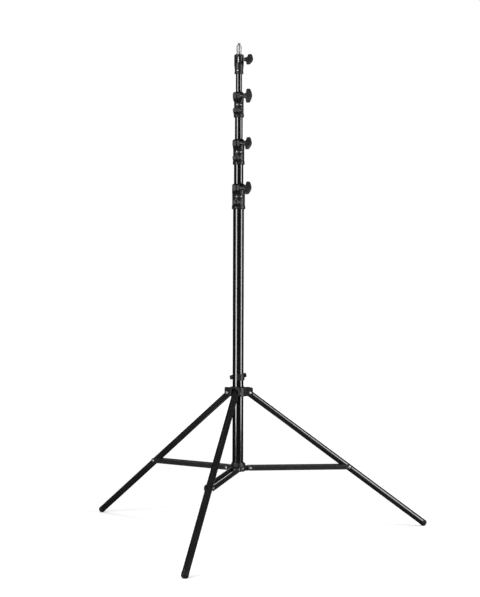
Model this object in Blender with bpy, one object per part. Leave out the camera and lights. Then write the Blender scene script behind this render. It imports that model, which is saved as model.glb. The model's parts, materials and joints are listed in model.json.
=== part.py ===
"""Photographic light stand: a four-section telescoping mast carried by three folding legs.

Metres, +Z up. The origin lies on the floor at the centre of the box round the three feet. Leg 1 points
along -Y, legs 2 and 3 stand 120 degrees to either side of it, and the mast clamps open towards leg 1.
Lengths along the mast are counted from the plane of the hub's three brace pivots.
"""
import math

import bmesh
import bpy
from mathutils import Matrix, Vector

# Clearances
GAP = 0.0003                    # between pieces that seat on each other
TELESCOPE_GAP = 0.001           # between one mast tube and the next
LEG_SIDE_GAP = 0.0006           # between a leg and what straddles it
MERGE_DISTANCE = 1e-7

# Mast tubes
BASE_TUBE_RADIUS = 0.0175
BASE_TUBE_LENGTH = 0.877
TUBE_WALL = 0.0015
RISER_1_OUT = 0.060             # bare tube between two clamps, as the stand is set up
RISER_2_OUT = 0.069
RISER_3_OUT = 0.057
PLUG_DEPTH = 0.020
PLUG_FLANGE = 0.012
BASE_PLUG_FLANGE = 0.002
STOP_GAP = 0.001                # left between two clamps when a riser is all the way down
RISER_FOOT_SPARE = 0.0275       # left between the lowest riser's plug and the plug of the base tube

# Mast clamps
LOCK_HEIGHT = 0.0815
LOCK_SEAT = 0.046               # how deep the outer tube stands in its clamp
LOCK_WALL = 0.0037
LOCK_CHAMFER = 0.0025
LOCK_SHOULDER = 0.0042          # slope round the clamp's top
LOCK_LIP = 0.0025
WAIST_DEPTH = 0.0012
WAIST_LOW = 0.034
WAIST_HIGH = 0.048
SLEEVE_WALL = 0.0015
EAR_LEFT = 0.014
EAR_RIGHT = 0.011
EAR_OUTWARD = 0.0115            # how far the ears stand out past the clamp's lower band
EAR_ROUND = 0.002
UPPER_EAR_TOP = 0.003           # from the clamp's top down to the upper ears
UPPER_EAR_BEVEL = 0.004         # slope over the upper ears' front
UPPER_EAR_FACE = 0.0165         # height of their front
UPPER_EAR_GUSSET = 0.0105       # slope under it, down to the casting
LOWER_EAR_LOW = 0.008
LOWER_EAR_BEVEL = 0.002
LOWER_EAR_FACE = 0.0105
LOWER_EAR_GUSSET = 0.0075
LOWER_EAR_SET_BACK = 0.002
SLIT_WIDTH = 0.002
SLIT_RUN_OUT = 0.002            # how far the lower slit runs past its ears into the waist
BOLT_WALL = 0.004               # casting between a clamp bolt's hole and the bore

# Clamp bolts, screws and washers
BOLT_RADIUS = 0.003
BOLT_HEAD_RADIUS = 0.0055
BOLT_HEAD_HEIGHT = 0.004
BOLT_REACH = 0.015              # bolt inside the knob
PINCH_RADIUS = 0.002
PINCH_HEAD_RADIUS = 0.0036
PINCH_HEAD_HEIGHT = 0.0025
WASHER_RADIUS = 0.0062
WASHER_HEIGHT = 0.0015
SCREW_RADIUS = 0.002
SCREW_HEAD_RADIUS = 0.003
SCREW_HEAD_HEIGHT = 0.0014
SCREW_BOSS_RADIUS = 0.0068
SCREW_BOSS_OUT = 0.0018
SCREW_RECESS_RADIUS = 0.0045
SCREW_RECESS_DEPTH = 0.0012
SCREW_HEIGHT = 0.0395           # in the clamp's waist
SCREW_ANGLES = (-94.0, -55.0)

# Clamp knobs
KNOB_STEM_RADIUS = 0.0062
KNOB_STEM_LENGTH = 0.0145
KNOB_WING_LENGTH = 0.047
KNOB_WING_WIDTH = 0.0135
KNOB_WING_DEPTH = 0.0165
KNOB_TIP_DEPTH = 0.0125
KNOB_TIP_RAISE = 0.0015
KNOB_EDGE = 0.0015
KNOB_BORE_SPARE = 0.003
KNOB_1_TURN = 33.0              # wing against the vertical
KNOB_2_TURN = 36.0
KNOB_3_TURN = 13.0

# Top receiver
RECEIVER_HEIGHT = 0.0615
RECEIVER_RADIUS = 0.0153
RECEIVER_NECK_RADIUS = 0.0125
RECEIVER_RING_RADIUS = 0.0148
RECEIVER_RING_HEIGHT = 0.0045
RECEIVER_TAPER_LOW = 0.014
RECEIVER_TAPER_HIGH = 0.029
RECEIVER_ROUND = 0.003
RECEIVER_SEAT = 0.027           # how deep riser 3 stands in it
RECEIVER_WEB = 0.003
RECEIVER_FACE = -96.0           # azimuth of its window and its fixing screw
RECEIVER_SCREW_HEIGHT = 0.010
WINDOW_WIDTH = 0.008
WINDOW_LOW = 0.035
WINDOW_HIGH = 0.058

# Spigot
SPIGOT_RADIUS = 0.008
SPIGOT_OUT = 0.0365             # above the receiver, with its thread
SPIGOT_RING_RADIUS = 0.0095
SPIGOT_RING_HEIGHT = 0.003
SPIGOT_NECK_RADIUS = 0.0068
SPIGOT_NECK_LENGTH = 0.004
SPIGOT_CHAMFER = 0.001
SPIGOT_THREAD_RADIUS = 0.0047
SPIGOT_THREAD_LENGTH = 0.0075

# Top knob and its screw
PAD_RADIUS = 0.004
PAD_HEIGHT = 0.0025
KNOB_SCREW_RADIUS = 0.004
KNOB_SCREW_REACH = 0.008        # screw inside its knob
TOP_KNOB_HEIGHT = 0.046
TOP_KNOB_OUT = 0.0022           # bare screw between the casting and the knob
TOP_KNOB_STEM_RADIUS = 0.0065
TOP_KNOB_STEM_LENGTH = 0.0085
TOP_KNOB_TURN = 45.0

# Leg collar
COLLAR_PIVOT_RADIUS = 0.0355
COLLAR_TOP = 0.018              # above the leg pivots
COLLAR_BOTTOM = 0.010           # below the leg pivots
COLLAR_NECK_HEIGHT = 0.003
COLLAR_RIM = 0.0006             # the sleeve stands this much past the ears' top and bottom
COLLAR_LINER_WALL = 0.0012
COLLAR_SLOT_WALL = 0.0032
COLLAR_BODY_WALL = 0.005
COLLAR_EAR_THICKNESS = 0.0035
COLLAR_EAR_END = 0.0105         # past the leg pivot
COLLAR_EAR_ROUND = 0.005
COLLAR_EAR_CUT = 0.012          # the ear's lower outer corner
COLLAR_SPINE_ANGLE = 102.5      # azimuth of the spine, its boss and the collar knob
COLLAR_SPINE_WIDTH = 0.018
COLLAR_SPINE_THICKNESS = 0.0065
COLLAR_HOOK_WALL = 0.0033
COLLAR_HOOK_LOW = 0.0405
COLLAR_HOOK_HIGH = 0.0615
COLLAR_HOOK_START = 126.0       # azimuths between which the hook wraps the tube
COLLAR_HOOK_END = -84.0
COLLAR_BOSS_RADIUS = 0.009
COLLAR_BOSS_OUT = 0.030
COLLAR_KNOB_HEIGHT = 0.050
COLLAR_KNOB_OUT = 0.002
COLLAR_STEM_RADIUS = 0.0075
COLLAR_STEM_LENGTH = 0.009
COLLAR_WING_LENGTH = 0.0575
COLLAR_WING_WIDTH = 0.0165
COLLAR_KNOB_TURN = 9.5

# Hub
HUB_PIVOT_RADIUS = 0.038
HUB_RADIUS = 0.0228
HUB_BOTTOM = 0.0095
HUB_SHOULDER = 0.0092
HUB_TOP = 0.0205
HUB_RIM_WALL = 0.001
HUB_LUG_POCKET_WALL = 0.0043
HUB_TAB_WIDTH = 0.009
HUB_TAB_THICKNESS = 0.0032
HUB_TAB_TOP = 0.0165
HUB_SCREW_ANGLE = -30.0

# Legs and feet
LEG_ANGLES = (-90.0, 30.0, 150.0)
LEG_RADIUS = 0.0105
LEG_WALL = 0.0015
LEG_LENGTH = 0.7625             # from the pivot to the foot's end
LEG_SPREAD = 53.94              # a leg against the vertical, stand open
LEG_TOP = 0.006                 # tube past the pivot
FOOT_RIM = 0.0004               # rubber past the outside of the tube
FOOT_HEAD = 0.016               # rubber under the tube's end
FOOT_PLUG = 0.022               # rubber inside the tube
FOOT_ROUND = 0.0045
FOOT_FLAT = 0.0010              # worn flat where the foot stands

# Braces
BRACE_REACH = 0.4216            # from the leg's pivot to the brace on it
BRACE_TILT = 1.5                # the brace's fall towards the leg, stand open
STRAP_WIDTH = 0.016
STRAP_THICKNESS = 0.0025
STRAP_GROOVE_WIDTH = 0.006
STRAP_GROOVE_DEPTH = 0.0009
STRAP_GROOVE_END = 0.020

# Rivets
RIVET_RADIUS = 0.003
RIVET_HEAD_RADIUS = 0.0046
RIVET_HEAD_HEIGHT = 0.0018
HEAD_RIM = 0.4                  # share of a domed head's height that its rim takes
HEAD_TOP = 0.6                  # share of its radius where the dome flattens

# Roundness
MAST_SIDES = 20
LEG_SIDES = 16
STEM_SIDES = 12
BOLT_SIDES = 8
BOLT_HEAD_SIDES = 6
ARC_STEPS = 4
SMOOTH_BELOW = math.radians(40.0)

# Colours, roughness and metallic value of each kind of surface
FINISHES = {
    "gloss_black": ((0.010, 0.010, 0.011), 0.18, 0.75),
    "satin_black": ((0.020, 0.020, 0.021), 0.42, 0.55),
    "strap_black": ((0.024, 0.024, 0.026), 0.38, 0.60),
    "black_plastic": ((0.022, 0.022, 0.024), 0.45, 0.0),
    "nylon": ((0.035, 0.035, 0.037), 0.55, 0.0),
    "rubber": ((0.014, 0.014, 0.014), 0.70, 0.0),
    "bright_steel": ((0.62, 0.62, 0.63), 0.22, 1.0),
    "brass": ((0.70, 0.52, 0.24), 0.35, 1.0),
}


# Sizes that follow from the driving ones

def tube_radius(step):
    """Outside radius of the base tube (step 0) or of one of the three risers."""
    return BASE_TUBE_RADIUS - step * (TUBE_WALL + TELESCOPE_GAP)


def tube_bore(step):
    """Inside radius of a mast tube."""
    return tube_radius(step) - TUBE_WALL


BASE_TUBE_BOTTOM = BASE_PLUG_FLANGE + GAP - HUB_BOTTOM
LOCK_1_BOTTOM = BASE_TUBE_BOTTOM + BASE_TUBE_LENGTH - LOCK_SEAT
LOCK_2_BOTTOM = LOCK_1_BOTTOM + LOCK_HEIGHT + RISER_1_OUT
LOCK_3_BOTTOM = LOCK_2_BOTTOM + LOCK_HEIGHT + RISER_2_OUT
RECEIVER_BOTTOM = LOCK_3_BOTTOM + LOCK_HEIGHT + RISER_3_OUT
LOCK_BOTTOMS = (LOCK_1_BOTTOM, LOCK_2_BOTTOM, LOCK_3_BOTTOM)
RISER_LENGTH = BASE_TUBE_LENGTH + LOCK_HEIGHT + STOP_GAP - PLUG_FLANGE - PLUG_DEPTH - RISER_FOOT_SPARE
KNOB_TURNS = (KNOB_1_TURN, KNOB_2_TURN, KNOB_3_TURN)

STRAP_INNER = LEG_RADIUS + LEG_SIDE_GAP
STRAP_OUTER = STRAP_INNER + STRAP_THICKNESS
BRACE_END_RADIUS = COLLAR_PIVOT_RADIUS + BRACE_REACH * math.sin(math.radians(LEG_SPREAD))
BRACE_LENGTH = (BRACE_END_RADIUS - HUB_PIVOT_RADIUS) / math.cos(math.radians(BRACE_TILT))
BRACE_DROP = BRACE_LENGTH * math.sin(math.radians(BRACE_TILT))
COLLAR_RISE = BRACE_REACH * math.cos(math.radians(LEG_SPREAD)) - BRACE_DROP
FOOT_RADIUS = LEG_RADIUS + FOOT_RIM
FOOT_CORE = FOOT_RADIUS - FOOT_ROUND


def foot_centre_drop():
    """Height of the foot's rounding centre line under the leg's pivot, on the side facing the floor."""
    spread = math.radians(LEG_SPREAD)
    return (LEG_LENGTH - FOOT_ROUND) * math.cos(spread) + FOOT_CORE * math.sin(spread)


HUB_HEIGHT = foot_centre_drop() + FOOT_ROUND - FOOT_FLAT - COLLAR_RISE


def foot_reach(turn):
    """How far a foot reaches from the mast's axis, in a level direction turned away from its leg."""
    spread = math.radians(LEG_SPREAD)
    along = math.cos(math.radians(turn))
    centre = COLLAR_PIVOT_RADIUS + (LEG_LENGTH - FOOT_ROUND) * math.sin(spread)
    return centre * along + FOOT_CORE * math.sqrt(1.0 - (math.sin(spread) * along) ** 2) + FOOT_ROUND


MAST_Y = (foot_reach(0.0) - foot_reach(60.0)) / 2.0


# Modelling helpers

def turned(profile, sides):
    """A solid turned about Z from a closed outline of (radius, height) points."""
    mesh = bmesh.new()
    corners = [mesh.verts.new((radius, 0.0, height)) for radius, height in profile]
    for here, after in zip(corners, corners[1:] + corners[:1]):
        if here.co.x > 0.0 or after.co.x > 0.0:
            mesh.edges.new((here, after))
    bmesh.ops.spin(mesh, geom=mesh.verts[:] + mesh.edges[:], cent=(0.0, 0.0, 0.0), axis=(0.0, 0.0, 1.0),
                   angle=math.tau, steps=sides, use_merge=True)
    bmesh.ops.remove_doubles(mesh, verts=mesh.verts[:], dist=MERGE_DISTANCE)
    bmesh.ops.recalc_face_normals(mesh, faces=mesh.faces[:])
    return mesh


def ring(inner, outer, low, high, sides):
    """A plain tube between two heights."""
    return turned([(inner, low), (outer, low), (outer, high), (inner, high)], sides)


def rod(radius, low, high, sides):
    """A plain cylinder between two heights."""
    return turned([(0.0, low), (radius, low), (radius, high), (0.0, high)], sides)


def hollow(profile, sides):
    """A turned cutter whose flats, not its corners, lie on the outline, so a round piece clears it."""
    grow = 1.0 / math.cos(math.pi / sides)
    grown = [(radius * grow, height) for radius, height in profile]
    return placed(turned(grown, sides), turn_z(180.0 / sides))


def hole(radius, low, high, sides):
    """A plain round cutter between two heights."""
    return hollow([(0.0, low), (radius, low), (radius, high), (0.0, high)], sides)


def prism(outline, low, high):
    """A solid extruded along Z from an outline of (x, y) points."""
    mesh = bmesh.new()
    base = mesh.faces.new([mesh.verts.new((x, y, low)) for x, y in outline])
    grown = bmesh.ops.extrude_face_region(mesh, geom=[base])
    moved = [item for item in grown["geom"] if isinstance(item, bmesh.types.BMVert)]
    bmesh.ops.translate(mesh, verts=moved, vec=(0.0, 0.0, high - low))
    bmesh.ops.recalc_face_normals(mesh, faces=mesh.faces[:])
    return mesh


def block(low, high):
    """A box between two opposite corners."""
    return prism([low[:2], (high[0], low[1]), high[:2], (low[0], high[1])], low[2], high[2])


def placed(mesh, matrix):
    """The mesh moved by a matrix."""
    bmesh.ops.transform(mesh, matrix=matrix, verts=mesh.verts[:])
    return mesh


def arc(centre, radius, start, end, steps):
    """Points on an arc between two angles in degrees."""
    x, y = centre
    angles = [math.radians(start + (end - start) * step / steps) for step in range(steps + 1)]
    return [(x + radius * math.cos(angle), y + radius * math.sin(angle)) for angle in angles]


def slot_outline(start, end, radius):
    """A bar with two round ends between two points of the X axis."""
    far_end = arc((end, 0.0), radius, -90.0, 90.0, ARC_STEPS)
    return far_end + arc((start, 0.0), radius, 90.0, 270.0, ARC_STEPS)


def turn_z(degrees):
    return Matrix.Rotation(math.radians(degrees), 4, "Z")


UPRIGHT = Matrix.Rotation(math.radians(90.0), 4, "X")       # an outline's Y becomes Z, its thickness -Y
ALONG_X = Matrix.Rotation(math.radians(90.0), 4, "Y")       # a turned piece's axis becomes +X
ALONG_Y = Matrix.Rotation(math.radians(-90.0), 4, "X")      # a turned piece's axis becomes +Y


def radial(degrees, height):
    """Takes a piece built along Z to a level axis that leaves the mast at an azimuth."""
    return Matrix.Translation((0.0, 0.0, height)) @ turn_z(degrees) @ ALONG_X


def empty(name, parent, location, rotation=(0.0, 0.0, 0.0)):
    """A frame that carries pieces."""
    frame = bpy.data.objects.new(name, None)
    frame.empty_display_size = 0.02
    frame.location = location
    frame.rotation_euler = rotation
    frame.parent = parent
    bpy.context.scene.collection.objects.link(frame)
    return frame


def finish_material(name, finish):
    """The piece's own material."""
    colour, roughness, metallic = FINISHES[finish]
    material = bpy.data.materials.new(name + "_finish")
    material.use_nodes = True
    shader = material.node_tree.nodes["Principled BSDF"]
    shader.inputs["Base Color"].default_value = (*colour, 1.0)
    shader.inputs["Roughness"].default_value = roughness
    shader.inputs["Metallic"].default_value = metallic
    return material


def to_object(name, solid, parent):
    """An object that holds one solid."""
    data = bpy.data.meshes.new(name)
    solid.to_mesh(data)
    solid.free()
    thing = bpy.data.objects.new(name, data)
    thing.parent = parent
    bpy.context.scene.collection.objects.link(thing)
    return thing


def piece(name, solid, parent, finish):
    """A sub-part of the stand."""
    thing = to_object(name, solid, parent)
    thing.data.shade_smooth()
    thing.data.set_sharp_from_angle(angle=SMOOTH_BELOW)
    thing.data.materials.append(finish_material(name, finish))
    return thing


def shaped(thing, operation, tools):
    """Adds tool solids to a piece, or cuts them out of it, one after the other."""
    for count, tool in enumerate(tools, start=1):
        helper = to_object(f"{thing.name}_{operation.lower()}_{count}", tool, thing.parent)
        helper.hide_render = True
        helper.display_type = "WIRE"
        step = thing.modifiers.new(helper.name, "BOOLEAN")
        step.operation = operation
        step.object = helper
    return thing


def united(thing, tools):
    return shaped(thing, "UNION", tools)


def cut(thing, tools):
    return shaped(thing, "DIFFERENCE", tools)


# Fasteners

def dome(radius, low, height):
    """Outline of a domed head that rises from its seat to the axis."""
    top = low + height
    return [(radius, low), (radius, low + height * HEAD_RIM), (radius * HEAD_TOP, top), (0.0, top)]


def dome_head(radius, height, low, shank, shank_low):
    """A rivet or screw along Z: a shank from shank_low up to low, then a domed head."""
    stem = [(0.0, shank_low), (shank, shank_low), (shank, low)]
    return turned(stem + dome(radius, low, height), BOLT_SIDES)


def rivet(half_length):
    """A rivet along Y through the origin, with a head at each end."""
    upper = [(RIVET_RADIUS, half_length)] + dome(RIVET_HEAD_RADIUS, half_length, RIVET_HEAD_HEIGHT)
    lower = [(radius, -height) for radius, height in reversed(upper)]
    return placed(turned(lower + upper, BOLT_SIDES), ALONG_Y)


def cross_hole(half_length):
    """The hole that a rivet along Y turns in."""
    return placed(hole(RIVET_RADIUS + GAP, -half_length, half_length, BOLT_SIDES), ALONG_Y)


def wing_knob(name, parent, stem, wing, turn, bore):
    """A T-shaped hand knob along +Z: a stem, a wing across it and a blind hole for its bolt or screw."""
    stem_radius, stem_length = stem
    wing_length, wing_width = wing
    half = wing_length / 2.0
    low = stem_length - KNOB_TIP_RAISE
    tip = low + KNOB_TIP_DEPTH
    top = low + KNOB_WING_DEPTH
    outline = [(-half, stem_length), (-stem_radius, low), (stem_radius, low), (half, stem_length),
               (half, tip), (half / 2.0, top), (-half / 2.0, top), (-half, tip)]
    cross = placed(prism(outline, -wing_width / 2.0, wing_width / 2.0), UPRIGHT)
    bmesh.ops.bevel(cross, geom=cross.edges[:], offset=KNOB_EDGE, segments=1, profile=0.5, affect="EDGES")
    knob = piece(name, placed(cross, turn_z(turn)), parent, "black_plastic")
    united(knob, [rod(stem_radius, 0.0, low + KNOB_TIP_DEPTH / 2.0, STEM_SIDES)])
    cut(knob, [hole(bore[0] + GAP, -stem_length, bore[1], BOLT_SIDES)])
    return knob


# Mast tubes

def build_tube(name, parent, step, low, length):
    solid = ring(tube_bore(step), tube_radius(step), low, low + length, MAST_SIDES)
    return piece(name, solid, parent, "gloss_black")


def build_riser(number, parent, top):
    """A riser tube and the plug at its foot, whose flange guides it in the tube outside."""
    low = top - RISER_LENGTH
    build_tube(f"riser_{number}_tube", parent, number, low, RISER_LENGTH)
    inside = tube_bore(number) - GAP
    flange = tube_bore(number - 1) - GAP
    foot = low - GAP
    end = foot - PLUG_FLANGE
    outline = [(0.0, end), (flange - GAP, end), (flange, end + GAP), (flange, foot), (inside, foot),
               (inside, low + PLUG_DEPTH), (0.0, low + PLUG_DEPTH)]
    piece(f"riser_{number}_plug", turned(outline, MAST_SIDES), parent, "nylon")


def build_base(parent):
    """The lowest mast tube and the plug in its foot."""
    build_tube("base_tube", parent, 0, BASE_TUBE_BOTTOM, BASE_TUBE_LENGTH)
    foot = BASE_TUBE_BOTTOM - GAP
    inside = tube_bore(0) - GAP
    end = foot - BASE_PLUG_FLANGE
    outline = [(0.0, end), (BASE_TUBE_RADIUS, end), (BASE_TUBE_RADIUS, foot), (inside, foot),
               (inside, foot + PLUG_DEPTH), (0.0, foot + PLUG_DEPTH)]
    piece("base_end_plug", turned(outline, MAST_SIDES), parent, "nylon")


# Mast clamps

def ear_block(low, gusset, face, bevel, root, reach):
    """A clamp's two ears as one block out to reach: a gusset, an upright face and a bevel."""
    face_low = low + gusset
    face_top = face_low + face
    top = face_top + bevel
    side = [(0.0, low), (root, low), (reach, face_low), (reach, face_top), (reach - bevel, top), (0.0, top)]
    ears = placed(prism(side, -EAR_RIGHT, EAR_LEFT), turn_z(-90.0) @ UPRIGHT)
    flanks = [edge for edge in ears.edges if abs(edge.verts[0].co.x - edge.verts[1].co.x) < GAP]
    bmesh.ops.bevel(ears, geom=flanks, offset=EAR_ROUND, segments=1, profile=0.5, affect="EDGES")
    return ears


def build_lock(number, parent):
    """A split clamp on top of tube number - 1 that grips riser number, with all that belongs to it."""
    frame = empty(f"lock_{number}", parent, (0.0, 0.0, LOCK_BOTTOMS[number - 1]))
    riser = tube_radius(number)
    low_bore = tube_radius(number - 1) + GAP
    low_radius = low_bore + LOCK_WALL
    waist = low_radius - WAIST_DEPTH
    sleeve_radius = riser + GAP + SLEEVE_WALL
    high_bore = sleeve_radius + GAP
    high_radius = high_bore + LOCK_WALL
    lip_bore = riser + 2.0 * GAP
    seat = LOCK_SEAT + GAP
    top = LOCK_HEIGHT
    chamfer = LOCK_CHAMFER
    outline = [(0.0, 0.0), (low_radius - chamfer / 2.0, 0.0), (low_radius, chamfer / 2.0),
               (low_radius, WAIST_LOW), (waist, WAIST_LOW + WAIST_DEPTH), (waist, WAIST_HIGH),
               (high_radius, WAIST_HIGH + chamfer), (high_radius, top - LOCK_SHOULDER),
               (high_radius - LOCK_SHOULDER, top), (0.0, top)]
    clamp = piece(f"lock_{number}_clamp", turned(outline, MAST_SIDES), frame, "satin_black")

    reach = low_radius + EAR_OUTWARD
    face_top = top - UPPER_EAR_TOP - UPPER_EAR_BEVEL
    face_low = face_top - UPPER_EAR_FACE
    ear_low = face_low - UPPER_EAR_GUSSET
    lower_face = LOWER_EAR_LOW + LOWER_EAR_GUSSET
    lower_top = lower_face + LOWER_EAR_FACE + LOWER_EAR_BEVEL
    boss_top = low_radius + SCREW_BOSS_OUT
    recess = boss_top - SCREW_RECESS_DEPTH
    head_top = recess + SCREW_HEAD_HEIGHT
    boss = [(0.0, high_bore), (SCREW_BOSS_RADIUS, high_bore), (SCREW_BOSS_RADIUS, boss_top),
            (SCREW_RECESS_RADIUS, boss_top), (SCREW_RECESS_RADIUS, recess), (SCREW_HEAD_RADIUS, recess),
            (SCREW_HEAD_RADIUS, head_top), (0.0, head_top)]
    bosses = [placed(turned(boss, STEM_SIDES), radial(angle, SCREW_HEIGHT)) for angle in SCREW_ANGLES]
    upper = ear_block(ear_low, UPPER_EAR_GUSSET, UPPER_EAR_FACE, UPPER_EAR_BEVEL, low_radius, reach)
    lower = ear_block(LOWER_EAR_LOW, LOWER_EAR_GUSSET, LOWER_EAR_FACE, LOWER_EAR_BEVEL, low_radius,
                      reach - LOWER_EAR_SET_BACK)
    united(clamp, [upper, lower] + bosses)

    far = 2.0 * reach
    half_slit = SLIT_WIDTH / 2.0
    bolt_place = (0.0, -(high_bore + BOLT_WALL + GAP + BOLT_RADIUS), face_low + UPPER_EAR_FACE / 2.0)
    pinch_place = (0.0, -(low_bore + BOLT_WALL + GAP + PINCH_RADIUS), lower_face + LOWER_EAR_FACE / 2.0)
    bolt_line = Matrix.Translation(bolt_place) @ ALONG_X
    pinch_line = Matrix.Translation(pinch_place) @ ALONG_X
    head_seat = BOLT_HEAD_HEIGHT + GAP - EAR_LEFT
    pinch_seat = EAR_RIGHT - PINCH_HEAD_HEIGHT - GAP
    pinch_end = PINCH_HEAD_HEIGHT - EAR_LEFT
    lip = top - LOCK_LIP
    bore = [(0.0, -top), (low_bore, -top), (low_bore, seat), (high_bore, seat), (high_bore, lip),
            (lip_bore, lip), (lip_bore, 2.0 * top), (0.0, 2.0 * top)]
    cut(clamp, [block((-half_slit, -far, ear_low), (half_slit, -riser, 2.0 * top)),
                block((-half_slit, -far, -top), (half_slit, -riser, lower_top + SLIT_RUN_OUT)),
                hollow(bore, MAST_SIDES),
                placed(hole(BOLT_RADIUS + GAP, -far, far, BOLT_SIDES), bolt_line),
                placed(hole(BOLT_HEAD_RADIUS + GAP, -far, head_seat, BOLT_HEAD_SIDES), bolt_line),
                placed(hole(PINCH_RADIUS + GAP, pinch_end - GAP, far, BOLT_SIDES), pinch_line),
                placed(hole(PINCH_HEAD_RADIUS + GAP, pinch_seat, far, BOLT_SIDES), pinch_line)])

    sleeve = ring(riser + GAP, sleeve_radius, seat + GAP, lip - GAP, MAST_SIDES)
    piece(f"lock_{number}_sleeve", sleeve, frame, "nylon")

    knob_foot = EAR_RIGHT + GAP + WASHER_HEIGHT + GAP
    head = rod(BOLT_HEAD_RADIUS, -EAR_LEFT, head_seat - GAP, BOLT_HEAD_SIDES)
    bolt = piece(f"lock_{number}_bolt", placed(head, bolt_line), frame, "bright_steel")
    shank = rod(BOLT_RADIUS, GAP - EAR_LEFT, knob_foot + BOLT_REACH, BOLT_SIDES)
    united(bolt, [placed(shank, bolt_line)])

    pinch = turned([(0.0, pinch_end), (PINCH_RADIUS, pinch_end), (PINCH_RADIUS, pinch_seat + GAP),
                    (PINCH_HEAD_RADIUS, pinch_seat + GAP), (PINCH_HEAD_RADIUS, EAR_RIGHT),
                    (0.0, EAR_RIGHT)], BOLT_SIDES)
    piece(f"lock_{number}_pinch_screw", placed(pinch, pinch_line), frame, "bright_steel")

    axis = empty(f"lock_{number}_knob_axis", frame, (knob_foot, bolt_place[1], bolt_place[2]),
                 (0.0, math.radians(90.0), 0.0))
    washer = ring(BOLT_RADIUS + GAP, WASHER_RADIUS, -GAP - WASHER_HEIGHT, -GAP, STEM_SIDES)
    piece(f"lock_{number}_washer", washer, axis, "bright_steel")
    wing_knob(f"lock_{number}_knob", axis, (KNOB_STEM_RADIUS, KNOB_STEM_LENGTH),
              (KNOB_WING_LENGTH, KNOB_WING_WIDTH), -KNOB_TURNS[number - 1],
              (BOLT_RADIUS, BOLT_REACH + KNOB_BORE_SPARE))


# Top of the mast

def build_receiver(parent):
    """The socket casting on riser 3, its fixing screw, and the screw, pad and knob that hold the spigot."""
    frame = empty("top", parent, (0.0, 0.0, RECEIVER_BOTTOM))
    centre = (RECEIVER_RADIUS - RECEIVER_ROUND, RECEIVER_HEIGHT - RECEIVER_ROUND)
    rounding = arc(centre, RECEIVER_ROUND, 0.0, 90.0, 3)
    neck = RECEIVER_NECK_RADIUS
    flange = RECEIVER_RING_RADIUS
    ring_step = (flange - neck) / 2.0
    outline = [(0.0, 0.0), (flange - ring_step, 0.0), (flange, ring_step),
               (flange, RECEIVER_RING_HEIGHT - ring_step), (neck, RECEIVER_RING_HEIGHT),
               (neck, RECEIVER_TAPER_LOW), (RECEIVER_RADIUS, RECEIVER_TAPER_HIGH)]
    outline += rounding + [(0.0, RECEIVER_HEIGHT)]
    casting = piece("top_receiver", turned(outline, MAST_SIDES), frame, "satin_black")

    riser_bore = tube_radius(3) + GAP
    socket = SPIGOT_RADIUS + GAP
    floor = RECEIVER_SEAT + GAP + RECEIVER_WEB
    far = 2.0 * RECEIVER_RADIUS
    middle = (WINDOW_LOW + WINDOW_HIGH) / 2.0
    half_run = (WINDOW_HIGH - WINDOW_LOW - WINDOW_WIDTH) / 2.0
    window = prism(slot_outline(-half_run, half_run, WINDOW_WIDTH / 2.0), SPIGOT_RADIUS / 2.0, far)
    screw_line = radial(RECEIVER_FACE, RECEIVER_SCREW_HEIGHT)
    screw_hole = hole(SCREW_RADIUS + GAP, riser_bore / 2.0, far, BOLT_SIDES)
    pad_hole = hole(PAD_RADIUS + GAP, SPIGOT_RADIUS / 2.0, far, STEM_SIDES)
    cut(casting, [hole(riser_bore, -far, RECEIVER_SEAT + GAP, MAST_SIDES),
                  hole(socket, floor, 2.0 * RECEIVER_HEIGHT, MAST_SIDES),
                  placed(window, radial(RECEIVER_FACE, middle)), placed(screw_hole, screw_line),
                  placed(pad_hole, radial(0.0, TOP_KNOB_HEIGHT))])

    screw = dome_head(SCREW_HEAD_RADIUS, SCREW_HEAD_HEIGHT, neck + GAP, SCREW_RADIUS, riser_bore)
    piece("top_receiver_screw", placed(screw, screw_line), frame, "bright_steel")

    build_spigot(frame, floor + GAP)
    build_side_knob("top", frame, 0.0, TOP_KNOB_HEIGHT, SPIGOT_RADIUS, RECEIVER_RADIUS + TOP_KNOB_OUT,
                    (TOP_KNOB_STEM_RADIUS, TOP_KNOB_STEM_LENGTH), (KNOB_WING_LENGTH, KNOB_WING_WIDTH),
                    -TOP_KNOB_TURN)


def build_spigot(parent, foot):
    """The stud that a lamp head slides over: a threaded tip, a neck, a seating ring and its hidden end."""
    seat = RECEIVER_HEIGHT + GAP
    ring_top = seat + SPIGOT_RING_HEIGHT
    neck_low = ring_top + SPIGOT_NECK_LENGTH / 2.0
    neck_high = neck_low + SPIGOT_NECK_LENGTH
    tip = RECEIVER_HEIGHT + SPIGOT_OUT
    shoulder = tip - SPIGOT_THREAD_LENGTH
    chamfer = SPIGOT_CHAMFER
    radius = SPIGOT_RADIUS
    neck = SPIGOT_NECK_RADIUS
    flange = SPIGOT_RING_RADIUS
    thread = SPIGOT_THREAD_RADIUS
    slope = radius - neck
    outline = [(0.0, foot), (radius - chamfer, foot), (radius, foot + chamfer), (radius, seat),
               (flange, seat), (flange, ring_top - chamfer / 2.0), (flange - chamfer / 2.0, ring_top),
               (radius, ring_top), (radius, neck_low), (neck, neck_low + slope), (neck, neck_high),
               (radius, neck_high + slope), (radius, shoulder - chamfer), (radius - chamfer, shoulder),
               (thread, shoulder), (thread, tip - chamfer), (thread - chamfer, tip), (0.0, tip)]
    piece("spigot", turned(outline, LEG_SIDES), parent, "bright_steel")


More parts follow.
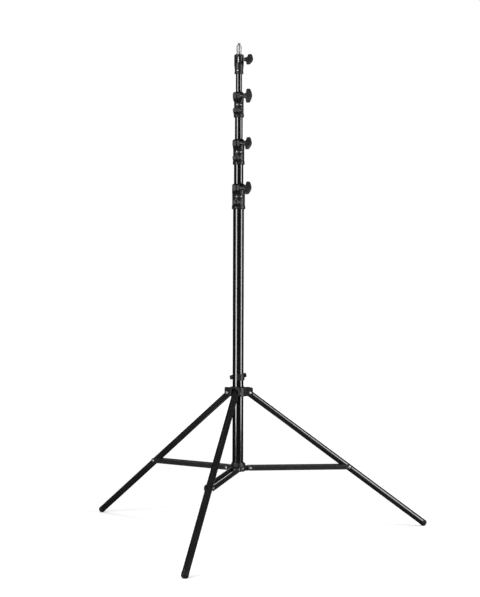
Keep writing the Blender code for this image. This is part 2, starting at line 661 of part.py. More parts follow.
def build_side_knob(name, parent, angle, height, bore, face, stem, wing, turn):
    """A pad, a screw and a knob that press on what stands in a bore, on a level axis from the mast."""
    axis = empty(f"{name}_knob_axis", parent, (0.0, 0.0, height),
                 (0.0, math.radians(90.0), math.radians(angle)))
    pad_low = bore + GAP
    pad_high = pad_low + PAD_HEIGHT
    piece(f"{name}_pad", rod(PAD_RADIUS, pad_low, pad_high, STEM_SIDES), axis, "brass")
    screw = rod(KNOB_SCREW_RADIUS, pad_high + GAP, face + KNOB_SCREW_REACH, STEM_SIDES)
    piece(f"{name}_knob_screw", screw, axis, "bright_steel")
    seat = empty(f"{name}_knob_seat", axis, (0.0, 0.0, face))
    wing_knob(f"{name}_knob", seat, stem, wing, turn, (KNOB_SCREW_RADIUS, KNOB_SCREW_REACH + GAP))


# Leg collar

def build_collar(parent):
    """The casting that slides on the base tube: three pairs of ears for the legs, a spine and a hook."""
    liner_radius = BASE_TUBE_RADIUS + GAP + COLLAR_LINER_WALL
    bore = liner_radius + GAP
    slot_radius = bore + COLLAR_SLOT_WALL
    body_radius = bore + COLLAR_BODY_WALL
    low = -COLLAR_BOTTOM - COLLAR_RIM
    high = COLLAR_TOP + COLLAR_RIM
    neck = COLLAR_TOP + COLLAR_NECK_HEIGHT
    outline = [(0.0, low), (body_radius, low), (body_radius, high), (slot_radius, high),
               (bore + GAP, neck), (0.0, neck)]
    collar = piece("leg_collar", turned(outline, MAST_SIDES), parent, "satin_black")

    inner = LEG_RADIUS + LEG_SIDE_GAP
    outer = inner + COLLAR_EAR_THICKNESS
    end = COLLAR_PIVOT_RADIUS + COLLAR_EAR_END
    corner = COLLAR_EAR_ROUND
    root = (bore + slot_radius) / 2.0
    side = [(root, -COLLAR_BOTTOM), (end - COLLAR_EAR_CUT, -COLLAR_BOTTOM),
            (end, COLLAR_EAR_CUT / 2.0 - COLLAR_BOTTOM)]
    side += arc((end - corner, COLLAR_TOP - corner), corner, 0.0, 90.0, 3) + [(root, COLLAR_TOP)]
    ears = []
    slots = []
    holes = []
    for angle in LEG_ANGLES:
        ears.append(placed(prism(side, -outer, outer), turn_z(angle) @ UPRIGHT))
        slot = block((slot_radius, -inner, -2.0 * COLLAR_TOP), (2.0 * end, inner, 2.0 * COLLAR_TOP))
        slots.append(placed(slot, turn_z(angle)))
        place = turn_z(angle) @ Matrix.Translation((COLLAR_PIVOT_RADIUS, 0.0, 0.0))
        holes.append(placed(cross_hole(2.0 * outer), place))

    inner_hook = BASE_TUBE_RADIUS + GAP
    hook_radius = inner_hook + COLLAR_HOOK_WALL
    wrap = (arc((0.0, 0.0), hook_radius, COLLAR_HOOK_START, COLLAR_HOOK_END, 4 * ARC_STEPS)
            + arc((0.0, 0.0), BASE_TUBE_RADIUS - GAP, COLLAR_HOOK_END, COLLAR_HOOK_START, 4 * ARC_STEPS))
    hook = prism(wrap, COLLAR_HOOK_LOW, COLLAR_HOOK_HIGH)
    half = COLLAR_SPINE_WIDTH / 2.0
    spine_in = BASE_TUBE_RADIUS + 2.0 * GAP
    spine_out = hook_radius + COLLAR_SPINE_THICKNESS
    spine_top = COLLAR_HOOK_HIGH - COLLAR_RIM
    spine_outline = [(bore + GAP, 0.0), (spine_out, 0.0), (spine_out, spine_top - COLLAR_SPINE_THICKNESS),
                     (hook_radius, spine_top), (bore + GAP, spine_top)]
    spine = placed(placed(prism(spine_outline, -half, half), UPRIGHT), turn_z(COLLAR_SPINE_ANGLE))
    boss = placed(rod(COLLAR_BOSS_RADIUS, spine_in, COLLAR_BOSS_OUT, STEM_SIDES),
                  radial(COLLAR_SPINE_ANGLE, COLLAR_KNOB_HEIGHT))
    united(collar, ears + [hook, spine, boss])
    tall = 2.0 * COLLAR_HOOK_HIGH
    knob_hole = placed(hole(PAD_RADIUS + GAP, BASE_TUBE_RADIUS / 2.0, 2.0 * end, STEM_SIDES),
                       radial(COLLAR_SPINE_ANGLE, COLLAR_KNOB_HEIGHT))
    inside = [(0.0, -tall), (bore, -tall), (bore, COLLAR_TOP), (inner_hook, COLLAR_TOP),
              (inner_hook, tall), (0.0, tall)]
    cut(collar, [hollow(inside, MAST_SIDES)] + slots + holes + [knob_hole])

    liner = ring(inner_hook, liner_radius, GAP - COLLAR_BOTTOM, COLLAR_TOP - GAP, MAST_SIDES)
    piece("collar_liner", liner, parent, "nylon")
    for number, angle in enumerate(LEG_ANGLES, start=1):
        place = turn_z(angle) @ Matrix.Translation((COLLAR_PIVOT_RADIUS, 0.0, 0.0))
        piece(f"collar_rivet_{number}", placed(rivet(outer + GAP), place), parent, "bright_steel")
    build_side_knob("collar", parent, COLLAR_SPINE_ANGLE, COLLAR_KNOB_HEIGHT, BASE_TUBE_RADIUS,
                    COLLAR_BOSS_OUT + COLLAR_KNOB_OUT, (COLLAR_STEM_RADIUS, COLLAR_STEM_LENGTH),
                    (COLLAR_WING_LENGTH, COLLAR_WING_WIDTH), 90.0 - COLLAR_KNOB_TURN)


# Hub at the foot of the mast

def build_hub(parent):
    """The casting that the braces hang on: a cup round the base tube, three lugs, and a tab above each."""
    bore = BASE_TUBE_RADIUS + GAP
    outline = [(0.0, -HUB_BOTTOM), (HUB_RADIUS, -HUB_BOTTOM), (HUB_RADIUS, HUB_SHOULDER),
               (bore + HUB_RIM_WALL, HUB_TOP), (0.0, HUB_TOP)]
    hub = piece("hub", turned(outline, MAST_SIDES), parent, "satin_black")
    half_width = STRAP_INNER - GAP
    half_height = STRAP_WIDTH / 2.0
    root = (bore + HUB_RADIUS) / 2.0
    lug_side = arc((HUB_PIVOT_RADIUS, 0.0), half_height, -90.0, 90.0, ARC_STEPS)
    lug_side += [(root, half_height), (root, -half_height)]
    pocket = half_width - HUB_LUG_POCKET_WALL
    tab = HUB_TAB_WIDTH / 2.0
    lugs = []
    tabs = []
    holes = []
    pockets = []
    for number, angle in enumerate(LEG_ANGLES, start=1):
        turn = turn_z(angle)
        place = turn @ Matrix.Translation((HUB_PIVOT_RADIUS, 0.0, 0.0))
        lugs.append(placed(placed(prism(lug_side, -half_width, half_width), UPRIGHT), turn))
        tabs.append(placed(block((HUB_RADIUS - HUB_TAB_THICKNESS / 2.0, -tab, 0.0),
                                 (HUB_RADIUS + HUB_TAB_THICKNESS / 2.0, tab, HUB_TAB_TOP)), turn))
        holes.append(placed(cross_hole(2.0 * half_width), place))
        hollow_lug = block((HUB_RADIUS + HUB_TAB_THICKNESS, -pocket, -HUB_PIVOT_RADIUS),
                           (2.0 * HUB_PIVOT_RADIUS, pocket, half_height - HUB_LUG_POCKET_WALL))
        pockets.append(placed(hollow_lug, turn))
        piece(f"hub_rivet_{number}", placed(rivet(STRAP_OUTER + GAP), place), parent, "bright_steel")
    screw_line = radial(HUB_SCREW_ANGLE, 0.0)
    screw_hole = hole(SCREW_RADIUS + GAP, BASE_TUBE_RADIUS / 2.0, 2.0 * HUB_RADIUS, BOLT_SIDES)
    united(hub, lugs + tabs)
    cut(hub, [hole(bore, -HUB_TOP, 2.0 * HUB_TOP, MAST_SIDES)] + pockets + holes
        + [placed(screw_hole, screw_line)])
    screw = dome_head(SCREW_HEAD_RADIUS, SCREW_HEAD_HEIGHT, HUB_RADIUS + GAP, SCREW_RADIUS, bore)
    piece("hub_screw", placed(screw, screw_line), parent, "bright_steel")


# Legs and braces

def build_leg(number, parent, angle):
    """A leg tube on its collar pivot, the rubber foot plugged into it, and the brace's rivet inside it."""
    turn = math.radians(angle)
    frame = empty(f"leg_{number}", parent,
                  (COLLAR_PIVOT_RADIUS * math.cos(turn), COLLAR_PIVOT_RADIUS * math.sin(turn), 0.0),
                  (0.0, -math.radians(LEG_SPREAD), turn))
    sole = LEG_LENGTH - FOOT_HEAD
    barrel = ring(LEG_RADIUS - LEG_WALL, LEG_RADIUS, GAP - sole, LEG_TOP, LEG_SIDES)
    tube = piece(f"leg_{number}_tube", barrel, frame, "gloss_black")
    at_brace = Matrix.Translation((0.0, 0.0, -BRACE_REACH))
    cut(tube, [cross_hole(2.0 * LEG_RADIUS), placed(cross_hole(2.0 * LEG_RADIUS), at_brace)])
    shank = placed(rod(RIVET_RADIUS, -LEG_RADIUS, LEG_RADIUS, BOLT_SIDES), ALONG_Y)
    piece(f"leg_{number}_rivet", placed(shank, at_brace), frame, "bright_steel")

    tip = -LEG_LENGTH
    plug = LEG_RADIUS - LEG_WALL - GAP
    outline = [(0.0, tip)] + arc((FOOT_CORE, tip + FOOT_ROUND), FOOT_ROUND, -90.0, 0.0, ARC_STEPS)
    outline += [(FOOT_RADIUS, -sole - FOOT_RIM), (LEG_RADIUS, -sole), (plug, -sole),
                (plug, FOOT_PLUG - sole - GAP), (plug - GAP, FOOT_PLUG - sole), (0.0, FOOT_PLUG - sole)]
    foot = turned(outline, LEG_SIDES)
    spread = math.radians(LEG_SPREAD)
    floor_normal = Vector((-math.sin(spread), 0.0, -math.cos(spread)))
    floor_point = floor_normal * (foot_centre_drop() + FOOT_ROUND - FOOT_FLAT)
    sliced = bmesh.ops.bisect_plane(foot, geom=foot.verts[:] + foot.edges[:] + foot.faces[:],
                                    plane_co=floor_point, plane_no=floor_normal, clear_outer=True)
    edges = [item for item in sliced["geom_cut"] if isinstance(item, bmesh.types.BMEdge)]
    bmesh.ops.contextual_create(foot, geom=edges)
    bmesh.ops.recalc_face_normals(foot, faces=foot.faces[:])
    piece(f"leg_{number}_foot", foot, frame, "rubber")


def build_brace(number, parent, angle):
    """The two straps that straddle a leg, on their hub pivot, each with a rivet head at the leg's end."""
    turn = math.radians(angle)
    frame = empty(f"brace_{number}", parent,
                  (HUB_PIVOT_RADIUS * math.cos(turn), HUB_PIVOT_RADIUS * math.sin(turn), 0.0),
                  (0.0, math.radians(BRACE_TILT), turn))
    bar_outline = slot_outline(0.0, BRACE_LENGTH, STRAP_WIDTH / 2.0)
    groove_end = BRACE_LENGTH - STRAP_GROOVE_END
    groove_outline = slot_outline(STRAP_GROOVE_END, groove_end, STRAP_GROOVE_WIDTH / 2.0)
    for letter, facing in (("a", UPRIGHT), ("b", Matrix.Rotation(math.pi, 4, "X") @ UPRIGHT)):
        bar = placed(prism(bar_outline, STRAP_INNER, STRAP_OUTER), facing)
        strap = piece(f"brace_{number}_strap_{letter}", bar, frame, "strap_black")
        groove = prism(groove_outline, STRAP_OUTER - STRAP_GROOVE_DEPTH, STRAP_OUTER + STRAP_GROOVE_DEPTH)
        pivot_hole = hole(RIVET_RADIUS + GAP, STRAP_INNER / 2.0, 2.0 * STRAP_OUTER, BOLT_SIDES)
        cut(strap, [placed(groove, facing), placed(pivot_hole, facing)])
        head = dome_head(RIVET_HEAD_RADIUS, RIVET_HEAD_HEIGHT, STRAP_OUTER, RIVET_RADIUS,
                         (STRAP_INNER + STRAP_OUTER) / 2.0)
        united(strap, [placed(head, facing @ Matrix.Translation((BRACE_LENGTH, 0.0, 0.0)))])


def main():
    for thing in list(bpy.data.objects):
        bpy.data.objects.remove(thing)
    stand = empty("stand", None, (0.0, MAST_Y, HUB_HEIGHT))
    build_base(stand)
    build_hub(stand)
    slide = empty("collar_slide", stand, (0.0, 0.0, COLLAR_RISE))
    build_collar(slide)
    for number, angle in enumerate(LEG_ANGLES, start=1):
        build_leg(number, slide, angle)
        build_brace(number, stand, angle)
    for number in (1, 2, 3):
        build_lock(number, stand)
    tops = (LOCK_2_BOTTOM + LOCK_SEAT, LOCK_3_BOTTOM + LOCK_SEAT, RECEIVER_BOTTOM + RECEIVER_SEAT)
    for number, top in enumerate(tops, start=1):
        build_riser(number, stand, top)
    build_receiver(stand)


main()
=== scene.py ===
"""A light stand with a telescoping mast, three mast clamps and three folding legs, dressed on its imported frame."""
import json
import math

import bmesh
import bpy
from bpy.props import FloatProperty, FloatVectorProperty, PointerProperty
from mathutils import Matrix, Vector


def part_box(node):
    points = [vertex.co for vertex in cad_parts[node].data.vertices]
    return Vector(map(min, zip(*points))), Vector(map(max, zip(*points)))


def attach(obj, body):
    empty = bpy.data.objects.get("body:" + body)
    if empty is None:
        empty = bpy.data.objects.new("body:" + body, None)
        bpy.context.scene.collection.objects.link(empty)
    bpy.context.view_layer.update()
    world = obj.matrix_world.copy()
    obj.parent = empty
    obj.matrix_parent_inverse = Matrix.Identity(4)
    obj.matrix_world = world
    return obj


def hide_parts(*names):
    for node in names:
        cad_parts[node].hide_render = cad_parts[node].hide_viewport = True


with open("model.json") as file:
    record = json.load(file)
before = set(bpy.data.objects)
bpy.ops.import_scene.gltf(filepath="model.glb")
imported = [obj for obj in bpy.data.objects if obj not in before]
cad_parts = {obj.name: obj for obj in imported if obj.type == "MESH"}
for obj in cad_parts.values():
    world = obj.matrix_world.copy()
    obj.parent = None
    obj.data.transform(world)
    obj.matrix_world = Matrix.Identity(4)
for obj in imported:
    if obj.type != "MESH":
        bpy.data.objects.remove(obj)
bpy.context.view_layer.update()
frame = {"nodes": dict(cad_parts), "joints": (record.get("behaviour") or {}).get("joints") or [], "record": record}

bl_info = {
    "name": "Light stand",
    "version": (1, 0, 0),
    "blender": (4, 5, 0),
    "location": "View3D > Sidebar > Light stand",
    "description": "Builds a light stand on its packed frame, piece by piece",
    "category": "Object",
}

LEGS = (1, 2, 3)
CLAMPS = (1, 2, 3)
TUBES = ("base_tube", "riser_1_tube", "riser_2_tube", "riser_3_tube")
UP = Vector((0.0, 0.0, 1.0))
RIGHT = Vector((1.0, 0.0, 0.0))
AWAY = Vector((0.0, 1.0, 0.0))
WHITE = (1.0, 1.0, 1.0)
BLACK = (0.0, 0.0, 0.0)
ON_AXIS = 1e-6              # a smaller radius is a point on the axis
SCREW_TURNS = (-94, -55)    # azimuths of a clamp's two face screws, in degrees
FAR = 0.2                   # how far a cutter reaches out of a piece
STRAP_GAP = 0.0006          # air between a leg and what holds it
RIVET_HEAD = 0.0018         # height of a rivet's head
TAPPED_RADIUS = 0.0043      # hole of the top and the collar knob's screw
BOLT_HEAD = 0.004           # height of a clamp bolt's head
LUG_EDGE = 0.0008           # bevel along the castings' lugs
HOOK_HEIGHT = 0.021         # height of the collar's hook-shaped band
RING_HEIGHT = 0.003         # height of the stud's seating ring
TIP_LENGTH = 0.0075         # length of the stud's threaded tip
WINDOW_RUN = 0.0075         # the receiver's oval window: half its straight part,
WINDOW_RADIUS = 0.004       # the radius of its ends
WINDOW_HEIGHT = 0.0438      # and its middle over the receiver's foot
SENSOR_WIDTH = 36.0         # of the camera, in millimetres

# How many sides or steps round shapes have
CASTING_SIDES = 96
TUBE_SIDES = 72
STUD_SIDES = 64
RING_SIDES = 48
SCREW_SIDES = 40
NECK_SIDES = 40
PIN_SIDES = 32
HOLE_SIDES = 24
KNOB_STATIONS = 16
FLAG_STEPS = 30

BODY_OF = {node: body for body, nodes in frame["record"]["behaviour"]["bodies"].items() for node in nodes}


def size(name, description, default):
    return FloatProperty(name=name, description=description, default=default, min=0.0, unit="LENGTH", precision=5)


def angle(name, description, degrees):
    return FloatProperty(name=name, description=description, default=math.radians(degrees), unit="ROTATION")


def share(name, description, default):
    return FloatProperty(name=name, description=description, default=default, min=0.0, max=1.0, subtype="FACTOR")


def power(name, description, watts):
    return FloatProperty(name=name, description=description, default=watts, min=0.0, unit="POWER")


def colour(name, description, default):
    return FloatVectorProperty(name=name, description=description, default=default, min=0.0, max=1.0,
                               subtype="COLOR")


class StandSizes(bpy.types.PropertyGroup):
    """Sizes of the details that the frame leaves plain."""
    tube_wall: size("Tube wall", "Thickness of every tube's wall", 0.0015)
    casting_wall: size("Casting wall", "Metal round a clamp's bore", 0.0037)
    seat_gap: size("Seat gap", "Air between pieces that seat on each other", 0.0003)
    sleeve_wall: size("Sleeve wall", "Thickness of a clamp's plastic sleeve", 0.0015)
    tube_seat: size("Tube seat", "How deep the outer tube stands in its clamp", 0.046)
    clamp_shoulder: size("Clamp shoulder", "Sloped rim at a clamp's top", 0.0042)
    ear_corner: size("Ear corner", "Cut at the corners of a clamp's ears", 0.003)
    upper_ear_drop: size("Upper ear drop", "From a clamp's top to the face of its upper ears", 0.0070)
    upper_ear_face: size("Upper ear face", "Height of the upper ears' flat face", 0.0165)
    upper_ear_foot: size("Upper ear foot", "From a clamp's top to the foot of the upper ears' gusset", 0.034)
    lower_ear_low: size("Lower ear low", "From a clamp's foot to the start of the lower ears' gusset", 0.008)
    lower_ear_face: size("Lower ear face", "From a clamp's foot to the face of its lower ears", 0.0155)
    lower_ear_top: size("Lower ear top", "From a clamp's foot to the top of its lower ears", 0.028)
    lower_ear_back: size("Lower ear set-back", "How far the lower ears stand behind the upper ones", 0.002)
    slit: size("Slit", "Width of the slit between two ears", 0.002)
    boss_radius: size("Boss radius", "Round boss about a clamp's face screw", 0.0070)
    boss_recess: size("Boss recess", "Radius of the recess in a boss", 0.0046)
    boss_out: size("Boss height", "How far a boss stands out", 0.0018)
    boss_height: size("Boss place", "Height of the face screws over the clamp's foot", 0.0395)
    screw_radius: size("Screw radius", "Radius of a face screw's head", 0.0030)
    shank_radius: size("Shank radius", "Radius of the clamp bolts and the rivets", 0.003)
    knob_ridge: size("Knob ridge", "Depth of the grooves along a knob's wing", 0.0009)
    knob_end: size("Knob end", "How much a wing stays short of its solid at each end", 0.0014)
    knob_edge: size("Knob edge", "How far a knob's neck stays inside its wing", 0.0004)
    knob_crown: size("Knob crown", "How far a wing's crown stands out over its solid", 0.0042)
    knob_depth: size("Knob depth", "From a knob's solid top down to the wing's root", 0.0150)
    knob_lift: size("Knob lift", "How far the wing's root rises towards its ends", 0.0010)
    knob_fall: size("Knob fall", "How far the wing's crown falls towards its ends", 0.0066)
    knob_taper: share("Knob taper", "How much narrower a wing's ends are", 0.24)
    knob_rounding: share("Knob rounding", "Where along a wing its end begins to round", 0.92)
    knob_rounding_depth: share("Knob rounding depth", "How much a wing's end draws in", 0.14)
    thread_pitch: size("Thread pitch", "Pitch of the stud's thread", 0.0015875)
    thread_depth: size("Thread depth", "Depth of the stud's thread", 0.0007)
    strap_edge: size("Strap edge", "Rounding along a strap's edges", 0.0004)
    strap_groove: size("Strap groove", "Width of the groove pressed along a strap", 0.006)
    strap_groove_depth: size("Strap groove depth", "Depth of the groove pressed along a strap", 0.0009)
    strap_groove_end: size("Strap groove end", "From a strap's pivot to its groove", 0.020)
    foot_round: size("Foot round", "Rounding of a foot's end", 0.0045)
    casting_grain: size("Casting grain", "Size of the cells that a casting is smoothed in", 0.0006)
    knob_grain: size("Knob grain", "Size of the cells that a knob is smoothed in", 0.00045)


class StandColours(bpy.types.PropertyGroup):
    """Colours of the stand's finishes."""
    tube: colour("Tube black", "Gloss black of the tubes", (0.003, 0.003, 0.0035))
    leg: colour("Leg black", "Gloss black of the legs", (0.0075, 0.0075, 0.008))
    casting: colour("Casting black", "Satin black of the castings", (0.0072, 0.0072, 0.0077))
    casting_worn: colour("Worn casting", "Metal that shows through at a casting's edges", (0.16, 0.16, 0.165))
    strap: colour("Strap black", "Painted steel of the brace straps", (0.010, 0.010, 0.011))
    strap_worn: colour("Worn strap", "Steel that shows at a strap's edges", (0.30, 0.30, 0.31))
    knob: colour("Knob charcoal", "Moulded plastic of the knobs", (0.012, 0.0115, 0.0135))
    nylon: colour("Nylon", "Plastic of the plugs, sleeves and liner", (0.040, 0.040, 0.042))
    rubber: colour("Rubber", "Rubber of the feet", (0.0075, 0.0075, 0.0075))
    dust: colour("Dust", "Dust on the rubber of the feet", (0.05, 0.0475, 0.045))
    steel: colour("Steel", "Satin steel of screws, rivets and stud", (0.46, 0.46, 0.465))
    brass: colour("Brass", "Pads under the knob screws", (0.70, 0.52, 0.24))
    floor: colour("Floor", "Pale floor", (0.86, 0.86, 0.86))
    card: colour("Card black", "Dark cards that only reflections see", (0.010, 0.010, 0.010))


class StudioSettings(bpy.types.PropertyGroup):
    """Where the camera and the lamps stand, and how bright they are."""
    camera_side: angle("Camera side", "Azimuth of the camera seen from the mast", -77.26)
    camera_distance: size("Camera distance", "From the mast to the camera", 4.405)
    camera_height: size("Camera height", "Height of the camera over the floor", 0.820)
    camera_aside: size("Camera aside", "How far the camera stands to the right of the mast", 0.0053)
    camera_roll: angle("Camera roll", "Turn of the camera about its own line of sight", 0.18)
    lens: FloatProperty(name="Lens", description="Focal length", default=83.46, min=1.0, unit="CAMERA")
    shift: FloatProperty(name="Shift", description="Vertical shift of the picture", default=-0.0340,
                         subtype="NONE")
    left_side: angle("Left lamp side", "Azimuth of the left lamp against the camera", -43.0)
    right_side: angle("Right lamp side", "Azimuth of the right lamp against the camera", 69.0)
    lamp_distance: size("Lamp distance", "From the mast to the side lamps", 3.2)
    lamp_width: size("Lamp width", "Width of the side lamps", 1.15)
    lamp_height: size("Lamp height", "Height of the side lamps", 2.3)
    lamp_centre: size("Lamp centre", "Height of the side lamps' middle over the floor", 1.10)
    left_power: power("Left power", "Power of the left lamp", 128.0)
    right_power: power("Right power", "Power of the right lamp", 108.0)
    top_power: power("Top power", "Power of the lamp overhead", 60.0)
    top_rise: size("Top rise", "From the side lamps' middle up to the lamp overhead", 3.2)
    top_size: size("Top size", "Width and depth of the lamp overhead", 2.5)
    fill: share("Fill", "Strength of the light from all round", 0.15)
    near_glow: share("Near glow", "Brightness added to the floor by the stand", 0.35)
    far_glow: share("Far glow", "Brightness added to the floor far off", 0.90)
    glow_start: size("Glow start", "Where the floor's glow begins to grow", 1.0)
    glow_end: size("Glow end", "Where the floor's glow is full", 4.0)
    floor_reach: size("Floor reach", "Half the width of the floor", 30.0)
    flag_distance: size("Flag distance", "From the mast to the dark cards", 5.6)
    flag_height: size("Flag height", "Height of the dark cards", 5.0)
    flag_reach: angle("Flag reach", "How far round from the camera the dark cards stand", 170.0)
    flag_hole: size("Flag hole", "Radius left open in the cards below and above the stand", 0.05)
    flag_gap: size("Flag gap", "Height of the lower card over the floor", 0.003)


# Measuring the frame

def corners(node, place):
    """Every corner of a CAD node, measured in a frame of its own."""
    to_place = place.inverted()
    return [to_place @ vertex.co for vertex in frame["nodes"][node].data.vertices]


def span(node, place):
    """Lowest and highest corner of a CAD node, measured in a frame of its own."""
    points = corners(node, place)
    return Vector(map(min, zip(*points))), Vector(map(max, zip(*points)))


def middle(node):
    low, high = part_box(node)
    return (low + high) / 2.0


def axes(origin, along, side):
    """A frame at origin whose Z runs along one direction and whose Y lies near another."""
    z = along.normalized()
    x = side.cross(z).normalized()
    y = z.cross(x)
    return Matrix(((x.x, y.x, z.x, origin.x), (x.y, y.y, z.y, origin.y), (x.z, y.z, z.z, origin.z), (0, 0, 0, 1)))


def joint_point(name):
    return Vector(next(joint for joint in frame["joints"] if joint["name"] == name)["pos_m"])


def mast_at(height):
    """A frame on the mast's axis, upright."""
    return Matrix.Translation((middle("base_tube").x, middle("base_tube").y, height))


def leg_frame(number):
    """A frame on a leg's pivot, Z up along the leg and Y along the pivot."""
    pivot = joint_point(f"leg_{number}_fold")
    out = pivot - mast_at(pivot.z).translation
    return axes(pivot, pivot - middle(f"leg_{number}_rivet"), UP.cross(out).normalized())


def brace_frame(number):
    """A frame on a brace's hub pivot, X along the brace and Y along the pivot."""
    pivot = joint_point(f"brace_{number}_fold")
    out = pivot - mast_at(pivot.z).translation
    side = UP.cross(out).normalized()
    reach = middle(f"leg_{number}_rivet") - pivot
    return axes(pivot, reach.cross(side), side)


def sideways(node, x):
    """A frame on a node's level axis at one x, Z along +X."""
    return axes(Vector((x, middle(node).y, middle(node).z)), RIGHT, UP)


def outward(node):
    """The level line from the mast's axis to a node's middle."""
    centre = middle(node)
    return centre - mast_at(centre.z).translation


def towards(turn):
    """Level direction at an angle about Z."""
    return Vector((math.cos(turn), math.sin(turn), 0.0))


def azimuth(direction):
    """Degrees about Z from +X to a direction."""
    return math.degrees(math.atan2(direction.y, direction.x))


def wing_turn(node, place):
    """Angle of a knob's long direction about its own axis, from how its corners are spread."""
    spread = corners(node, place)
    xx = sum(point.x * point.x for point in spread)
    yy = sum(point.y * point.y for point in spread)
    xy = sum(point.x * point.y for point in spread)
    return 0.5 * math.atan2(2.0 * xy, xx - yy)


def radius_of(node):
    low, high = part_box(node)
    return (high.x - low.x) / 2.0


def leg_radius():
    low, high = span("leg_1_tube", leg_frame(1))
    return (high.y - low.y) / 2.0


def knob_foot_radius(node, place):
    """Radius of a knob's foot: its farthest corner from the axis near the plane it sits on."""
    return max(point.xy.length for point in corners(node, place) if point.z < 0.0005)


def stud_radius():
    """Radius of the stud's lower end, which stands in the receiver."""
    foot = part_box("spigot")[0].z
    return max(point.xy.length for point in corners("spigot", mast_at(0.0)) if point.z < foot + 0.002)


# Mesh code

def bridge(mesh, first, second):
    """Faces between two rings of corners, either of which may be a single point."""
    count = max(len(first), len(second))
    for index in range(count):
        after = (index + 1) % count
        if len(first) == 1:
            face = (first[0], second[after], second[index])
        elif len(second) == 1:
            face = (first[index], first[after], second[0])
        else:
            face = (first[index], first[after], second[after], second[index])
        mesh.faces.new(face)


def settled(mesh):
    bmesh.ops.recalc_face_normals(mesh, faces=mesh.faces[:])
    return mesh


def turned(profile, sides, groove=None):
    """A closed solid turned about Z from (radius, height) points; groove says how much radius goes where."""
    mesh = bmesh.new()
    rings = []
    for radius, height in profile:
        if radius < ON_AXIS:
            rings.append([mesh.verts.new((0.0, 0.0, height))])
            continue
        ring = []
        for step in range(sides):
            turn = math.tau * step / sides
            here = radius - groove(height, turn) if groove else radius
            ring.append(mesh.verts.new((here * math.cos(turn), here * math.sin(turn), height)))
        rings.append(ring)
    for low, high in zip(rings, rings[1:]):
        bridge(mesh, low, high)
    if len(rings[0]) > 1:
        bridge(mesh, rings[-1], rings[0])
    return settled(mesh)


def lofted(sections):
    """A closed solid through rings of points, with a flat face at each end."""
    mesh = bmesh.new()
    rings = [[mesh.verts.new(point) for point in section] for section in sections]
    for low, high in zip(rings, rings[1:]):
        bridge(mesh, low, high)
    mesh.faces.new(rings[0])
    mesh.faces.new(rings[-1])
    return settled(mesh)


def prism(outline, low, high):
    """A solid along Z from an outline of (x, y) points."""
    return lofted([[(x, y, level) for x, y in outline] for level in (low, high)])


def rod(radius, low, high, sides):
    """A plain pin along Z, or the cutter of a hole."""
    return turned([(0.0, low), (radius, low), (radius, high), (0.0, high)], sides)


def hexagon(radius):
    turns = [math.tau * step / 6 for step in range(6)]
    return [(radius * math.cos(turn), radius * math.sin(turn)) for turn in turns]


def block(low, high):
    return prism([low[:2], (high[0], low[1]), high[:2], (low[0], high[1])], low[2], high[2])


def eased(outline, radius, steps=3, closed=True):
    """An outline whose corners are rounded, starting a radius before each corner."""
    points = [Vector(point) for point in outline]
    count = len(points)
    soft = []
    for index, here in enumerate(points):
        if not closed and index in (0, count - 1):
            soft.append(here)
            continue
        before = points[index - 1] - here
        after = points[(index + 1) % count] - here
        start = here + before * min(radius / before.length, 0.45)
        end = here + after * min(radius / after.length, 0.45)
        for step in range(steps + 1):
            part = step / steps
            soft.append(start.lerp(here, part).lerp(here.lerp(end, part), part))
    return [tuple(point) for point in soft]


def arc(centre, radius, start, end, steps):
    """Points on an arc between two angles in degrees."""
    turns = [math.radians(start + (end - start) * step / steps) for step in range(steps + 1)]
    return [(centre[0] + radius * math.cos(turn), centre[1] + radius * math.sin(turn)) for turn in turns]


def bar(start, end, radius, steps=10):
    """Outline of a bar with round ends between two points of the X axis."""
    return arc((end, 0.0), radius, -90.0, 90.0, steps) + arc((start, 0.0), radius, 90.0, 270.0, steps)


def moved(mesh, matrix):
    bmesh.ops.transform(mesh, matrix=matrix, verts=mesh.verts[:])
    return mesh


def joined(meshes):
    """Several meshes as one."""
    whole = bmesh.new()
    for mesh in meshes:
        data = bpy.data.meshes.new("joined")
        mesh.to_mesh(data)
        whole.from_mesh(data)
        bpy.data.meshes.remove(data)
    return whole


def with_edges(mesh, width, segments=2, sharper=30.0):
    """The mesh with its sharp edges bevelled."""
    edges = [edge for edge in mesh.edges if edge.calc_face_angle(0.0) > math.radians(sharper)]
    bmesh.ops.bevel(mesh, geom=edges, offset=width, segments=segments, profile=0.6, affect="EDGES")
    return settled(mesh)


def tilt(axis, degrees):
    return Matrix.Rotation(math.radians(degrees), 4, axis)


UPRIGHT = tilt("X", 90.0)       # an outline's Y becomes Z, its thickness -Y
ALONG_X = tilt("Y", 90.0)       # a turned piece's axis becomes +X
ALONG_Y = tilt("X", -90.0)      # a turned piece's axis becomes +Y


def raised(height):
    return Matrix.Translation((0.0, 0.0, height))


def level(degrees, height):
    """From Z to a level axis that leaves the mast at an azimuth."""
    return raised(height) @ tilt("Z", degrees) @ ALONG_X


def temporary(mesh):
    data = bpy.data.meshes.new("temporary")
    mesh.to_mesh(data)
    thing = bpy.data.objects.new("temporary", data)
    bpy.context.scene.collection.objects.link(thing)
    return thing


def discard(thing):
    data = thing.data
    bpy.data.objects.remove(thing)
    bpy.data.meshes.remove(data)


def combine(thing, operation, meshes):
    """Gives an object a Boolean modifier for each mesh, and gives back the helpers that hold the meshes."""
    helpers = [temporary(mesh) for mesh in meshes]
    for helper in helpers:
        step = thing.modifiers.new("shape", "BOOLEAN")
        step.operation = operation
        step.solver = "MANIFOLD"
        step.object = helper
    return helpers


def applied(thing, helpers):
    """An object's mesh with its modifiers applied; the object and its helpers go."""
    shape = bpy.data.meshes.new_from_object(thing.evaluated_get(bpy.context.evaluated_depsgraph_get()))
    for helper in helpers + [thing]:
        discard(helper)
    return shape


